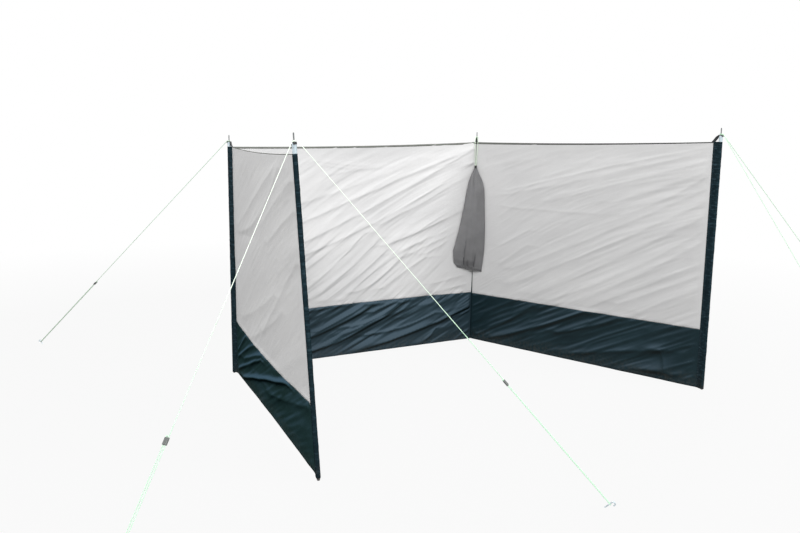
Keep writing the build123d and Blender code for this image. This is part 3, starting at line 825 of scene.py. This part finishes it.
# a fold's relief in metres, steeper below its crest than above it
def foldHeight(fold, share, width, height):
    above, below, rise, crest = fold
    marks = np.array(crest)
    shares = np.linspace(marks[0, 0], marks[-1, 0], 40)
    line = np.polyval(np.polyfit(marks[:, 0], marks[:, 1], min(2, len(marks) - 1)), shares)
    level = np.interp(share, shares, line)
    slope = np.interp(share, shares, np.gradient(line, shares)) / width
    away = (height - level) / np.sqrt(1 + slope * slope)
    away = away + cloth["waver"] * np.sin(share * 31 + marks[0, 1] * 40)
    upper = np.exp(-((np.maximum(away, 0) / (above * 0.70)) ** 1.35))
    lower = np.exp(-((np.maximum(-away, 0) / (below * 0.80)) ** 1.15))
    past, over = cloth["foldFade"]
    start = smoothStep((share - marks[0, 0] + past) / over) if marks[0, 0] > 0.05 else 1.0
    end = smoothStep((marks[-1, 0] + past - share) / over) if marks[-1, 0] < 0.93 else 1.0
    return rise * 0.001 * np.where(away > 0, upper, lower) * start * end


class Panel:
    def __init__(self, name):
        facts = panels[name]
        self.facts = facts
        self.near, self.far = poleFrames[facts["near"]], poleFrames[facts["far"]]
        self.top = (self.near.sleeveTop, self.far.sleeveTop, facts["topRise"])
        greyHeight = (self.top[0] + self.top[1]) / 2 - facts["seam"][0]
        band = np.linspace(0, 1, round(seamHeight / cloth["cell"]) + 1)
        grey = np.linspace(0, 1, round(greyHeight / cloth["cell"]) + 1)[1:]
        self.seamRow = len(band) - 1
        self.rise = np.concatenate((band * seamHeight, seamHeight + grey * (self.top[0] - facts["seam"][0])))
        # heights of each row at the near pole and the far one, and how far it rises between
        self.nearLevel, self.farLevel, self.bow = [
            np.concatenate((low + (middle - low) * band, middle + (high - middle) * grey))
            for low, middle, high in zip(facts["hem"], facts["seam"], self.top)]
        self.setOut()

    def edge(self, pole, angle, level, reach):
        if pole.isCorner:
            return pole.place(pole.inward, clothInside / math.sin(pole.half), 0, level)
        return pole.place(angle, reach, 0, level)

    def heightAt(self, row, share):
        near, far, rise = row
        return near * (1 - share) + far * share + rise * 4 * share * (1 - share)

    def setOut(self):
        nearAngle, farAngle = self.facts["angles"]
        near = np.array([self.edge(self.near, nearAngle, level, 0) for level in self.nearLevel])
        far = np.array([self.edge(self.far, farAngle, level, cloth["endReach"]) for level in self.farLevel])
        self.width = float(np.linalg.norm(far - near, axis=1).mean())
        self.columns = round(self.width / cloth["cell"]) + 1
        share = np.linspace(0, 1, self.columns)
        up = np.outer(1 - share, self.near.up) + np.outer(share, self.far.up)
        points = near[:, None] * (1 - share)[None, :, None] + far[:, None] * share[None, :, None]
        points = points + up[None] * (self.bow[:, None] * (4 * share * (1 - share))[None])[..., None]
        upColumn = np.gradient(points, axis=0)
        self.normals = unit(np.cross(np.gradient(points, axis=1), upColumn), 2)
        self.upward = unit(upColumn, 2)
        self.across = share[None, :] * self.width + 0 * self.rise[:, None]
        rows = zip(self.nearLevel, self.farLevel, self.bow)
        self.level = np.stack([self.heightAt(row, share) for row in rows])
        relief = self.relief()
        self.points = points + self.normals * relief[..., None]
        # how much the relief faces up or down: painted sheen where it faces up and painted crease shade where
        # it faces down, then the patches of painted shade and painted highlight
        climb = np.gradient(relief, axis=0) / np.linalg.norm(upColumn, axis=2)
        self.slope = np.clip(-climb * cloth["sheenGain"], 0, 1) ** cloth["toneCurve"]
        self.paintedCreaseShade = np.clip(climb * cloth["creaseGain"], 0, 1) ** cloth["toneCurve"]
        self.dullness, self.shine = self.patches("dull"), self.patches("shine")
        self.uv = np.stack((self.width - self.across, self.rise[:, None] + 0 * self.across), axis=2)

    # a row moved up the cloth and off its face
    def rowAt(self, row, up, out):
        return self.points[row] + self.upward[row] * up + self.normals[row] * out

    # a row's UVs at another height
    def uvRow(self, row, height):
        return np.stack((self.uv[row, :, 0], np.full(self.columns, height)), axis=1)

    def patch(self, share, middle, level, wide, tall):
        return ((share - middle) / wide) ** 2 + ((self.level - level) / tall) ** 2

    # soft patches of tone of one kind, at their strengths
    def patches(self, kind):
        share = self.across / self.width
        total = 0 * share
        for *place, amount in self.facts.get(kind, ()):
            total = total + amount * np.exp(-self.patch(share, *place))
        return total

    # beside a corner the cloth is sewn to the sleeve behind it, and can only stand off it
    def onSleeve(self, relief, away):
        free = ramp(away, *cloth["cornerFree"])
        offSleeve = -self.facts["outer"] * np.maximum(-self.facts["outer"] * relief, 0)
        return (relief * free + offSleeve * (1 - free)) * ramp(away, *cloth["cornerSeam"])

    # fine parallel creases and broad waves that lean at an angle
    def streaks(self, lean, seed):
        crosswise = self.level - (self.across - self.width / 2) * np.tan(np.radians(lean))
        fine = ridges(self.across / 0.35 + 3.1, crosswise / 0.040 + 40, seed)
        fine = fine + 0.7 * ridges(self.across / 0.20 + 9.7, crosswise / 0.021 + 70, seed + 1)
        return fine, softNoise(self.across / 0.60 + 5.3, crosswise / 0.13 + 20, seed + 2)

    def folds(self, foldWidth, band):
        share = self.across / foldWidth
        grey, navy = (sum(foldHeight(fold, share, foldWidth, self.level) for fold in self.facts[kind])
                      for kind in ("folds", "bandFolds"))
        return grey * (1 - 0.75 * band) + cloth["bandRelief"] * navy * band

    def creases(self, foldWidth, band):
        facts = self.facts
        fine, broad = self.streaks(np.interp(self.level, *zip(*facts["fan"])), facts["seed"])
        bandFine, bandBroad = self.streaks(facts["bandLean"], facts["seed"] + 5)
        fine, broad = fine * (1 - band) + bandFine * band, broad * (1 - band) + bandBroad * band
        if "calm" in facts:     # a taut patch with hardly a crease
            away = self.patch(self.across / foldWidth, *facts["calm"][0], *facts["calm"][1])
            fine = fine * (1 - cloth["calming"] * np.exp(-away ** 2))
        grown = 1.0 + (cloth["bandFine"] - 1.0) * band
        return facts["fine"] * fine * grown + cloth["broadWaves"] * broad

    # short gathers on both sides of the seam
    def gathers(self, fromSeam):
        facts = self.facts
        near = np.exp(-np.abs(fromSeam) / np.where(fromSeam > 0, 0.036, facts["gatherReach"]))
        slanted = self.across - fromSeam * 1.3
        gathers = softNoise(slanted / 0.013 + 11, fromSeam / 0.16 + 50, facts["seed"] + 3)
        patchy = softNoise(self.across / 0.14 + 6, 0 * fromSeam + 8, facts["seed"] + 4)
        return facts["gathers"] * gathers * near * smoothStep(patchy * 1.2 + 0.55)

    def relief(self):
        facts, share = self.facts, self.across / self.width
        fromSeam, fromHem = (self.level - self.heightAt(facts[edge], share) for edge in ("seam", "hem"))
        toTop = self.heightAt(self.top, share) - self.level
        foldWidth = self.width
        if not self.far.isCorner:
            foldWidth = self.width - (cloth["foldsFrom"] - cloth["endReach"])
        band = ramp(fromSeam, *cloth["bandFrom"])
        total = self.folds(foldWidth, band) + self.creases(foldWidth, band) + self.gathers(fromSeam)
        for away, (left, over) in ((toTop, cloth["topEase"]), (fromHem, cloth["hemEase"])):
            total = total * (left + (1 - left) * ramp(away, 0, over))
        fromFar = self.width - self.across
        if "right_corner" in (facts["near"], facts["far"]):     # flatter where the bag leans
            away = self.across if facts["near"] == "right_corner" else fromFar
            between = ramp(self.level, *cloth["bagLow"]) * ramp(self.level, *cloth["bagHigh"])
            total = total * (1 - cloth["bagEase"] * ramp(away, *cloth["bagSide"]) * between)
        total = self.onSleeve(total, self.across)
        if self.far.isCorner:
            return self.onSleeve(total, fromFar)
        reach = cloth["endReach"] + fromFar
        pocket = (pocketHalf(reach) + cloth["pocketStand"]) * ramp(reach, *cloth["pocketEnds"])
        return total * ramp(reach, *cloth["endFree"]) + facts["outer"] * pocket


# the mud band, its hem turned up behind and sewn
def makeBand(name, panel, facts):
    rows = slice(panel.seamRow + 1)
    turned = [panel.rowAt(0, up, -behind) for up, behind, _ in cloth["hemRows"]]
    turnedUv = [panel.uvRow(0, -drop) for *_, drop in cloth["hemRows"]]
    points = np.concatenate((turned, panel.points[rows]))
    band = gridPiece(name + "MudBand", points, np.concatenate((turnedUv, panel.uv[rows])))
    # painted sheen: a base amount over the whole band, more where it faces up, and the shine patches; painted
    # shade in its creases
    paintedSheen = panel.slope[rows] * facts["paintedSheen"][1] + facts["paintedSheen"][0] + panel.shine[rows]
    paintedCreaseShade = panel.paintedCreaseShade[rows]
    paintedSheen = np.concatenate((paintedSheen[[0, 0, 0]] * 0, paintedSheen))
    paintSheenAndShade(band, paintedSheen, np.concatenate((paintedCreaseShade[[0, 0, 0]], paintedCreaseShade)))
    thicken(band, clothThickness)
    finishPiece(band, "leftMudBand" if name == "left" else "mudBand")
    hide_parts(name + "_mud_band")
    facts["near"] + "_sleeve"
    facts["far"] + "_sleeve"


def makeGrey(name, panel, facts):
    rows = slice(panel.seamRow, None)
    grey = gridPiece(name + "Cloth", panel.points[rows], panel.uv[rows])
    # painted sheen at half strength, and painted shade in the creases and the darker patches
    paintSheenAndShade(grey, panel.slope[rows] * 0.5, panel.paintedCreaseShade[rows] * facts["greyCrease"] + panel.dullness[rows])
    thicken(grey, clothThickness)
    finishPiece(grey, "paleCloth")
    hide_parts(name + "_cloth")
    facts["near"] + "_sleeve"
    facts["far"] + "_sleeve"
    return grey


# tape folded over the top hem: bindingLeg is its depth on the outer side, near and far
def makeBinding(name, panel, facts, grey):
    half = clothThickness / 2
    leg = np.linspace(*facts["bindingLeg"], panel.columns)[:, None]
    ahead, behind = leg, cloth["bindingLegs"] - leg
    if facts["outer"] < 0:
        ahead, behind = behind, ahead
    profile = (
        (half + 0.0003, ahead), (half + 0.0004, ahead * 0.6), (half + 0.0003, ahead * 0.08),
        (half * 0.4, -0.0006), (-half * 0.4, -0.0006),
        (-half - 0.0003, behind * 0.08), (-half - 0.0004, behind * 0.6), (-half - 0.0003, behind),
    )
    points = np.array([panel.rowAt(-1, -drop, out) for out, drop in profile])
    uv = np.array([panel.uvRow(-1, 0.0020 * place) for place in range(len(profile))])
    tape = gridPiece(name + "TopBinding", points[::-1], uv[::-1])
    # the tape's painted shade, growing from its near end to its far one as the panel's table gives it
    paintedTone = np.ones((len(profile), 1)) * np.linspace(*facts["bindingPaintedShade"], panel.columns)
    paintSheenAndShade(tape, paintedTone * 0, paintedTone)
    thicken(tape, cloth["bindingThickness"], 1.0)
    finishPiece(tape, "bindingTape")
    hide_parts(name + "_top_binding")


for name, facts in panels.items():
    panel = Panel(name)
    makeBand(name, panel, facts)
    makeBinding(name, panel, facts, makeGrey(name, panel, facts))
    print(name, "panel made, width", round(panel.width, 4))


# sleeves: strips of navy cloth round the tubes
sleeve = {
    "tubeGap": 0.0004, "thickness": 0.0006, "clothGap": 0.0003, "cell": 0.0055, "pucker": 0.0008,
    "endTangent": 0.030, "endReach": (0.0345, 0.0375), "cornerReach": 0.045, "cornerLeave": 0.025,
    "over": 0.0008,
}


def onCircle(radius, turn):
    return radius * np.array((math.cos(turn), math.sin(turn)))


# where a tangent from a point touches a circle round the origin
def tangentTurn(point, radius, side):
    return math.atan2(point[1], point[0]) + side * math.acos(radius / math.hypot(*point))


# one side of a corner's sleeve: along the cloth, then free towards the tube
def cornerSide(pole, radius, side):
    along = np.array((math.cos(pole.half), side * math.sin(pole.half)))
    inside = np.array((math.sin(pole.half), -side * math.cos(pole.half)))
    offset = clothInside - clothThickness / 2 - sleeve["thickness"] / 2 - sleeve["clothGap"]
    reaches = np.linspace(sleeve["cornerReach"], sleeve["cornerLeave"], 6)
    tail = [along * reach + inside * offset for reach in reaches]
    turn = tangentTurn(tail[-1], radius, side)
    run = [tail[-1] + (onCircle(radius, turn) - tail[-1]) * step for step in (0.25, 0.5, 0.75)]
    return tail + run, turn % (2 * math.pi)


def sleeveProfile(pole, share):
    radius = tubeRadius + sleeve["tubeGap"]
    if pole.isCorner:
        (first, start), (second, end) = (cornerSide(pole, radius, side) for side in (1, -1))
        arc = [onCircle(radius, turn) for turn in np.linspace(start, end, 15)]
        return np.array(first + arc + second[::-1])
    low, high = sleeve["endReach"]
    corner = np.array((sleeve["endTangent"] - 0.004 * (1 - share), 0.0012))
    turn = tangentTurn(corner, radius, 1)
    spots = np.linspace(low + (high - low) * share, corner[0] + 0.002, 4)
    tail = [np.array((spot, 0.0009)) for spot in spots]
    touch = onCircle(radius, turn)
    run = [corner + (touch - corner) * step for step in (0, 0.12, 0.3, 0.5, 0.7, 0.88)]
    arc = [onCircle(radius, angle) for angle in np.linspace(turn, 2 * math.pi - turn, 19)]
    mirror = [point * (1, -1) for point in (tail + run)[::-1]]
    return np.array(tail + run + arc + mirror)


def makeSleeve(pole, seed):
    count = round((pole.sleeveTop - pole.sleeveBottom) / sleeve["cell"]) + 1
    levels = np.linspace(pole.sleeveBottom, pole.sleeveTop + sleeve["over"], count)
    length = levels[-1] - levels[0]
    flat = np.array([sleeveProfile(pole, (level - levels[0]) / length) for level in levels])
    step = np.linalg.norm(np.diff(flat, axis=1), axis=2)
    run = np.concatenate((np.zeros((count, 1)), np.cumsum(step, axis=1)), axis=1)
    tangent = unit(np.gradient(flat, axis=1), 2)
    outward = np.stack((tangent[..., 1], -tangent[..., 0]), axis=2)
    height = levels[:, None] + 0 * run
    slanted = height + run * 0.25
    pucker = np.maximum(softNoise(run / 0.03 + 4, slanted / 0.011, seed), -0.2)
    pucker = pucker + 0.8 * softNoise(run / 0.05 + 9, slanted / 0.032, seed + 1)
    fromEnd = np.minimum(run, run[:, -1:] - run)
    body = ramp(fromEnd, 0.003, 0.012)
    ends = ramp(height, levels[0], 0.02) * ramp(height, levels[-1], -0.02)
    raised = sleeve["pucker"] * (np.maximum(pucker, 0) + 0.10) * body * (0.35 + 0.65 * ends)
    flat = flat + outward * raised[..., None]
    out, side = (np.array(way) for way in pole.sides(pole.inward))
    points = np.array(pole.foot) + height[..., None] * np.array(pole.up)
    points = points + flat[..., :1] * out + flat[..., 1:] * side
    piece = gridPiece(pole.name + "Sleeve", points, np.stack((fromEnd, height - levels[0]), axis=2))
    # painted sheen on the upper side of each pucker and painted shade under it
    climb = np.gradient(raised, axis=0) / sleeve["cell"]
    paintSheenAndShade(piece, -climb * 2.0, climb * 1.5)
    thicken(piece, sleeve["thickness"])
    finishPiece(piece, "sleeve")
    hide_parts(pole.name + "_sleeve")


for place, pole in enumerate(poleFrames.values()):
    makeSleeve(pole, 50 + 2 * place)
print("sleeves made")


# straps: webbing from the cloth's top edge over each pole's cap, its end folded over the hem
strap = {
    "width": 0.016, "thickness": 0.0017, "gap": 0.0003, "sewn": 0.022, "tail": 0.008,
    "endReach": 0.0392, "behind": 0.0042, "turn": 90, "turnFrom": 0.030, "turnOver": 0.038,
    "cornerInset": 0.0022, "bend": 0.0030, "edge": 0.0004, "lengthwise": 46, "crosswise": 10,
}


# a line of straight runs with its corners eased, as evenly spaced points and their distances
def easedLine(corners, bend, count):
    corners = [np.array(corner, dtype=float) for corner in corners]
    line = [corners[0]]
    for before, corner, after in zip(corners, corners[1:], corners[2:]):
        back, on = before - corner, after - corner
        backLength, onLength = np.linalg.norm(back), np.linalg.norm(on)
        cut = min(bend, 0.45 * backLength, 0.45 * onLength)
        start, end = corner + back / backLength * cut, corner + on / onLength * cut
        for step in np.linspace(0, 1, 6):
            line.append(start * (1 - step) ** 2 + corner * 2 * step * (1 - step) + end * step ** 2)
    line.append(corners[-1])
    line = np.array(line)
    run = np.concatenate(([0], np.cumsum(np.linalg.norm(np.diff(line, axis=0), axis=1))))
    spots = np.linspace(0, run[-1], count)
    return np.stack([np.interp(spots, run, line[:, axis]) for axis in range(2)], axis=1), spots


def strapLine(pole):
    top = pole.sleeveTop
    middle = strap["gap"] + strap["thickness"] / 2
    level, over = poleHeight + middle, tubeRadius + middle
    if pole.isCorner:
        low = clothInside / math.sin(pole.half) - strap["cornerInset"]
        foot = (low, top - strap["sewn"]), (low, top + 0.001)
    else:
        low, sewn = strap["endReach"], strap["sewn"] * 0.7
        foot = ((low + (low - over) / (level - top) * sewn, top - sewn),)
    tail = (-over - 0.0012, poleHeight - strap["tail"])
    corners = (*foot, (over, level), (-over, level), tail)
    return easedLine(corners, strap["bend"], strap["lengthwise"] + 1)


def makeStrap(pole):
    line, run = strapLine(pole)
    across = np.linspace(-strap["width"] / 2, strap["width"] / 2, strap["crosswise"] + 1)
    closed = math.radians(90) - pole.half
    fold = closed * (1 - ramp(run, strap["sewn"] * 0.8, 0.020))
    turned = math.radians(strap["turn"]) * (1 - ramp(run, strap["turnFrom"], strap["turnOver"]))
    course = unit(np.gradient(line, axis=0), 1)
    up, side = np.array(pole.up), np.array(pole.sides(pole.inward)[1])
    out = np.cross(side, up)
    points = []
    for (reach, height), angle, turn, (ahead, rise) in zip(line, fold, turned, course):
        spine = np.array(pole.foot) + up * height + out * reach
        if pole.isCorner:
            opened = side * (across * math.cos(angle))[:, None]
            points.append(spine + opened + out * (np.abs(across) * math.sin(angle))[:, None])
        else:
            crosswise = side * math.cos(turn) + (up * -ahead + out * rise) * math.sin(turn)
            points.append(spine - side * strap["behind"] * math.sin(turn) + crosswise * across[:, None])
    uv = np.stack(np.meshgrid(run, across + strap["width"] / 2, indexing="ij"), axis=2)
    piece = gridPiece(pole.name + "Strap", np.array(points), uv)
    thicken(piece, strap["thickness"])
    applyModifier(piece, "BEVEL", width=strap["edge"], segments=2, limit_method="ANGLE")
    finishPiece(piece, "webbing")
    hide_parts(pole.name + "_strap")


for pole in poleFrames.values():
    makeStrap(pole)
print("straps made")


# storage bag, in the right corner: two flat layers sewn at the sides and the bottom, gathered at the neck.
# Levels are shares of its length, with shares of width and thickness and a turn in degrees.
bag = {
    "neckDrop": 0.204, "length": 0.692, "width": 0.212, "thickness": 0.040, "facing": -24, "gap": 0.004,
    "levels": (
        (0.0, 0.08, 0.35, -15.0), (0.03, 0.165, 0.45, -15.0), (0.08, 0.32, 0.60, -16.5),
        (0.13, 0.453, 0.70, -18.0), (0.20, 0.56, 0.80, -18.0), (0.37, 0.66, 0.92, -13.5),
        (0.57, 0.81, 0.98, -9.0), (0.81, 1.0, 1.0, -1.5), (0.95, 0.925, 0.85, 0.0), (1.0, 0.85, 0.35, 0.0),
    ),
    "rows": 140, "columns": 160, "ease": 13, "cloth": 0.0006, "seed": 91,
    "slant": 0.020, "lift": 0.004, "sink": 0.017, "sleeveFace": 0.0138,
}


# where the bag's middle hangs so that both its sides rest near the two cloths
def bagCentre(drop, halfWidth, halfThickness, facing):
    pole = poleFrames["right_corner"]
    across, through = heading(facing), heading(facing + 90)
    walls = []
    for angle in pole.headings:
        inside = 1.0 if heading(angle).cross(heading(pole.inward)).z > 0 else -1.0
        normal = heading(angle + 90) * -inside
        extent = math.hypot(halfWidth * across.dot(normal), halfThickness * through.dot(normal))
        walls.append((normal, -(bag["sleeveFace"] + bag["gap"] + extent)))
    (first, firstGap), (second, secondGap) = walls
    scale = first.x * second.y - first.y * second.x
    x = (firstGap * second.y - secondGap * first.y) / scale
    y = (first.x * secondGap - second.x * firstGap) / scale
    return pole.foot + pole.up * (poleHeight - drop) + Vector((x, y, 0))


# front folds: a soft ridge down the middle, a pleat low on the left and one on the right
def bagFolds(u, share):
    ridge = 0.0050 * bell(u + 0.004 - 0.010 * share, 0.015) * (1 - 0.6 * ramp(share, 0.6, 0.3))
    valley = -0.0014 * bell(u - 0.006, 0.0045) * ramp(share, 0.16, 0.12) * (1 - ramp(share, 0.66, 0.12))
    beside = u + 0.0305 + 0.006 * (share - 0.7)
    steep = -0.0088 * np.exp(-np.maximum(beside, 0) / 0.0044)
    pleat = ramp(share, 0.66, 0.12) * np.where(beside > 0, steep, 0.0028 * bell(beside, 0.010))
    sunk = ramp(share, 0.84, 0.12)
    pleat = pleat - 0.0046 * sunk * bell(beside - 0.016 - 0.020 * sunk, 0.006 + 0.022 * sunk)
    pleat = pleat - 0.0030 * ramp(share, 0.88, 0.06) * bell(beside - 0.030, 0.0055)
    second = -0.0064 * ramp(share, 0.80, 0.10) * bell(u - 0.044 + 0.05 * (share - 0.9), 0.0050)
    return ridge + valley + pleat + second


def bagRelief(u, share, front, back):
    gather = np.cos(u / (0.0065 + 0.020 * share) * 2.2 + 0.8) * 0.0030 * (1 - ramp(share, 0, 0.34))
    small = 0.0011 * softNoise(u / 0.016 + 30, np.full_like(u, share * 5.5 + 3), bag["seed"])
    broad = 0.0009 * softNoise(u / 0.045 + share * 6 + 12, np.full_like(u, share * 22), bag["seed"] + 1)
    both = gather + small + broad
    return (front * (both + bagFolds(u, share)) + back * both) * (1 - 0.75 * ramp(share, 0.965, 0.035))


def makeBag():
    levels = np.array(bag["levels"])
    shares = np.linspace(0, 1, bag["rows"])
    ease = np.hanning(bag["ease"]) / np.hanning(bag["ease"]).sum()
    wide, thick, turn = (np.interp(shares, levels[:, 0], levels[:, place]) for place in (1, 2, 3))
    wide, thick, turn = (
        np.convolve(np.pad(values, bag["ease"] // 2, mode="edge"), ease, mode="valid")
        for values in (wide, thick, turn))
    angles = np.linspace(0, 2 * math.pi, bag["columns"], endpoint=False)
    spot = np.cos(angles)
    lens = np.sign(np.sin(angles)) * np.abs(np.sin(angles)) ** 1.25
    front, back = np.clip(-lens, 0, 1), np.clip(lens, 0, 1)
    points, uv, paintedFoldShade = [], [], []
    halves = zip(shares, wide * bag["width"] / 2, thick * bag["thickness"] / 2, turn)
    for share, halfWidth, halfThick, turned in halves:
        halfThick = halfThick * (1 - 0.93 * ramp(share, 0.90, 0.10))
        facing = bag["facing"] + turned
        drop = bag["neckDrop"] + share * bag["length"]
        centre = np.array(bagCentre(drop, halfWidth, halfThick, facing))
        leftEdge, rightEdge = 1 - 0.16 * ramp(share, 0.94, 0.06) ** 2, 1 + 0.03 * ramp(share, 0.93, 0.07)
        u = spot * halfWidth * np.where(spot < 0, leftEdge, rightEdge)
        relief = bagRelief(u, share, front, back)
        # the lower part sinks back into the corner, and its hem slants down to the right
        sink = bag["sink"] * ramp(share, 0.55, 0.35) * (1 - np.clip(np.abs(u) / halfWidth, 0, 1) ** 1.5)
        depth = lens * halfThick + np.sign(lens) * relief + sink
        across, through = np.array(heading(facing)), np.array(heading(facing + 90))
        ring = centre + np.outer(u, across) + np.outer(depth, through)
        ring[:, 2] -= (bag["slant"] * u / halfWidth - bag["lift"]) * ramp(share, 0.72, 0.28)
        points.append(ring)
        # painted shade in the front's fold valleys, and a painted line of shade along the bottom edge
        paintedFoldShade.append(np.clip(-relief * 130 * front + 0.55 * ramp(share, 0.972, 0.012), 0, 1))
        arc = np.concatenate(([0], np.cumsum(np.linalg.norm(np.diff(ring, axis=0), axis=1))))
        uv.append(np.stack((arc, np.full_like(arc, (1 - share) * bag["length"])), axis=1))
    return np.array(points), np.array(uv), np.array(paintedFoldShade)


def closeBag(points, uv, paintedFoldShade):
    wrapped = np.concatenate((points, points[:, :1]), axis=1)
    lastUv = uv[:, -1:].copy()
    lastUv[:, 0, 0] += np.linalg.norm(wrapped[:, -1] - wrapped[:, -2], axis=1)
    piece = gridPiece("storageBag", wrapped[::-1], np.concatenate((uv, lastUv), axis=1)[::-1])
    shade = np.concatenate((paintedFoldShade, paintedFoldShade[:, :1]), axis=1)[::-1]
    paintSheenAndShade(piece, shade * 0, shade)
    makeActive(piece)
    bpy.ops.object.mode_set(mode="EDIT")
    bpy.ops.mesh.select_all(action="SELECT")
    bpy.ops.mesh.remove_doubles(threshold=0.00005)
    bpy.ops.mesh.select_all(action="DESELECT")
    bpy.ops.object.mode_set(mode="OBJECT")
    # the open edge round the bottom is filled
    mesh = piece.data
    bottom = points[-1, :, 2].mean() + 0.004
    counts = {}
    for face in mesh.polygons:
        for key in face.edge_keys:
            counts[key] = counts.get(key, 0) + 1
    for edge in mesh.edges:
        low = max(mesh.vertices[corner].co.z for corner in edge.vertices) < bottom
        edge.select = bool(low) and counts.get(tuple(sorted(edge.vertices)), 0) == 1
    bpy.ops.object.mode_set(mode="EDIT")
    bpy.ops.mesh.select_mode(type="EDGE")
    bpy.ops.mesh.fill_grid(span=1)
    bpy.ops.mesh.select_all(action="SELECT")
    bpy.ops.mesh.normals_make_consistent(inside=False)
    bpy.ops.object.mode_set(mode="OBJECT")
    bpy.ops.object.shade_smooth()
    return piece


bagPiece = closeBag(*makeBag())
thicken(bagPiece, bag["cloth"], -1.0)
finishPiece(bagPiece, "bag")
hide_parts("storage_bag")
print("storage bag made")


# where the two cloths meet above the mud band, a narrow dark strip in the fold shows the sleeve there and
# also stands in for the fold's shade
sleeveAndShadeStrip = {
    "levels": (0.316, 0.334, 0.478), "widths": (0.0090, 0.0074, 0.0028), "rows": 28, "columns": 9,
    "lift": 0.0014, "thickness": 0.0006,
}


def makeSleeveAndShadeStrip(pole):
    levels = np.linspace(sleeveAndShadeStrip["levels"][0], sleeveAndShadeStrip["levels"][-1], sleeveAndShadeStrip["rows"])
    halves = np.interp(levels, sleeveAndShadeStrip["levels"], sleeveAndShadeStrip["widths"]) / 2
    fold = clothInside / math.sin(pole.half) + sleeveAndShadeStrip["lift"]
    rows, rowsUv = [], []
    for level, half in zip(levels, halves):
        sides = np.linspace(-half, half, sleeveAndShadeStrip["columns"])
        reaches = fold + np.abs(sides) / math.tan(pole.half)
        rows.append([pole.place(pole.inward, reach, side, level) for reach, side in zip(reaches, sides)])
        rowsUv.append([(side / math.sin(pole.half), level - levels[0]) for side in sides])
    strip = gridPiece("rightCornerSleeveAndShadeStrip", np.array(rows), np.array(rowsUv))
    thicken(strip, sleeveAndShadeStrip["thickness"])
    finishPiece(strip, "mudBand")


makeSleeveAndShadeStrip(poleFrames["right_corner"])
print("seam strip made")


# cord lock: a round barrel with a spring button, both strings through it
cordLock = {
    "radius": 0.0075, "height": 0.0180, "rise": 0.0040, "well": 0.0014, "dish": 0.0005, "sides": 40,
    "flatEvery": 36, "flatWide": 10, "flatInset": 0.0003, "flatDepth": 0.0004, "edge": 0.0006,
}


def makeCordLock():
    low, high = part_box("bag_cord_lock")
    centre = (Vector(low) + Vector(high)) / 2
    radius, height = cordLock["radius"], cordLock["height"] - cordLock["rise"]
    deselectAll()
    place = (centre.x, centre.y, low[2] + height / 2)
    bpy.ops.mesh.primitive_cylinder_add(
        vertices=cordLock["sides"], radius=radius, depth=height, location=place)
    barrel = bpy.context.active_object
    barrel.name = "bagCordLock"
    bpy.ops.object.transform_apply(location=True, rotation=True, scale=True)
    mesh = barrel.data
    for face in mesh.polygons:
        face.select = face.normal.z > 0.9
    bpy.ops.object.mode_set(mode="EDIT")
    bpy.ops.mesh.select_mode(type="FACE")
    bpy.ops.mesh.inset(thickness=radius * 0.20)
    bpy.ops.transform.translate(value=(0, 0, -cordLock["well"]))
    bpy.ops.mesh.inset(thickness=radius * 0.16)
    rise = cordLock["well"] + cordLock["rise"]
    bpy.ops.mesh.extrude_region_move(TRANSFORM_OT_translate={"value": (0, 0, rise)})
    bpy.ops.mesh.inset(thickness=radius * 0.12)
    bpy.ops.transform.translate(value=(0, 0, -cordLock["dish"]))
    bpy.ops.mesh.select_all(action="DESELECT")
    bpy.ops.object.mode_set(mode="OBJECT")
    for face in mesh.polygons:     # grip flats round the barrel
        middle = face.center - centre
        turn = math.degrees(math.atan2(middle.y, middle.x)) % cordLock["flatEvery"]
        outer = abs(face.normal.z) < 0.2 and middle.xy.length > radius * 0.9
        face.select = outer and turn < cordLock["flatWide"]
    bpy.ops.object.mode_set(mode="EDIT")
    bpy.ops.mesh.inset(thickness=cordLock["flatInset"], depth=-cordLock["flatDepth"])
    bpy.ops.mesh.select_all(action="SELECT")
    bpy.ops.mesh.remove_doubles(threshold=0.00002)
    bpy.ops.mesh.normals_make_consistent(inside=False)
    bpy.ops.object.mode_set(mode="OBJECT")
    applyModifier(barrel, "BEVEL", width=cordLock["edge"], segments=3, limit_method="ANGLE",
                  angle_limit=math.radians(40))
    bpy.ops.object.shade_smooth_by_angle(angle=math.radians(35))
    finishPiece(barrel, "blackPlastic")
    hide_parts("bag_cord_lock")


makeCordLock()
print("cord lock made")


# the solids that keep their own form take their look by the end of their name
cadLooks = {
    "_tube": "steel", "_pin": "pinSteel", "_foot": "footPlastic", "_peg": "steel", "_pegs": "steel",
    "_guy_line": "limeCord", "_guy_lines": "limeCord", "left_end_guy_lines": "paleCord",
    "_runner": "runnerPlastic", "_runners": "runnerPlastic", "_drawstring": "bagCord",
}
for name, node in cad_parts.items():
    endings = [ending for ending in cadLooks if name.endswith(ending)]
    if endings:
        for spot in node.material_slots:
            spot.material = materials[cadLooks[max(endings, key=len)]]
print("solids dressed")
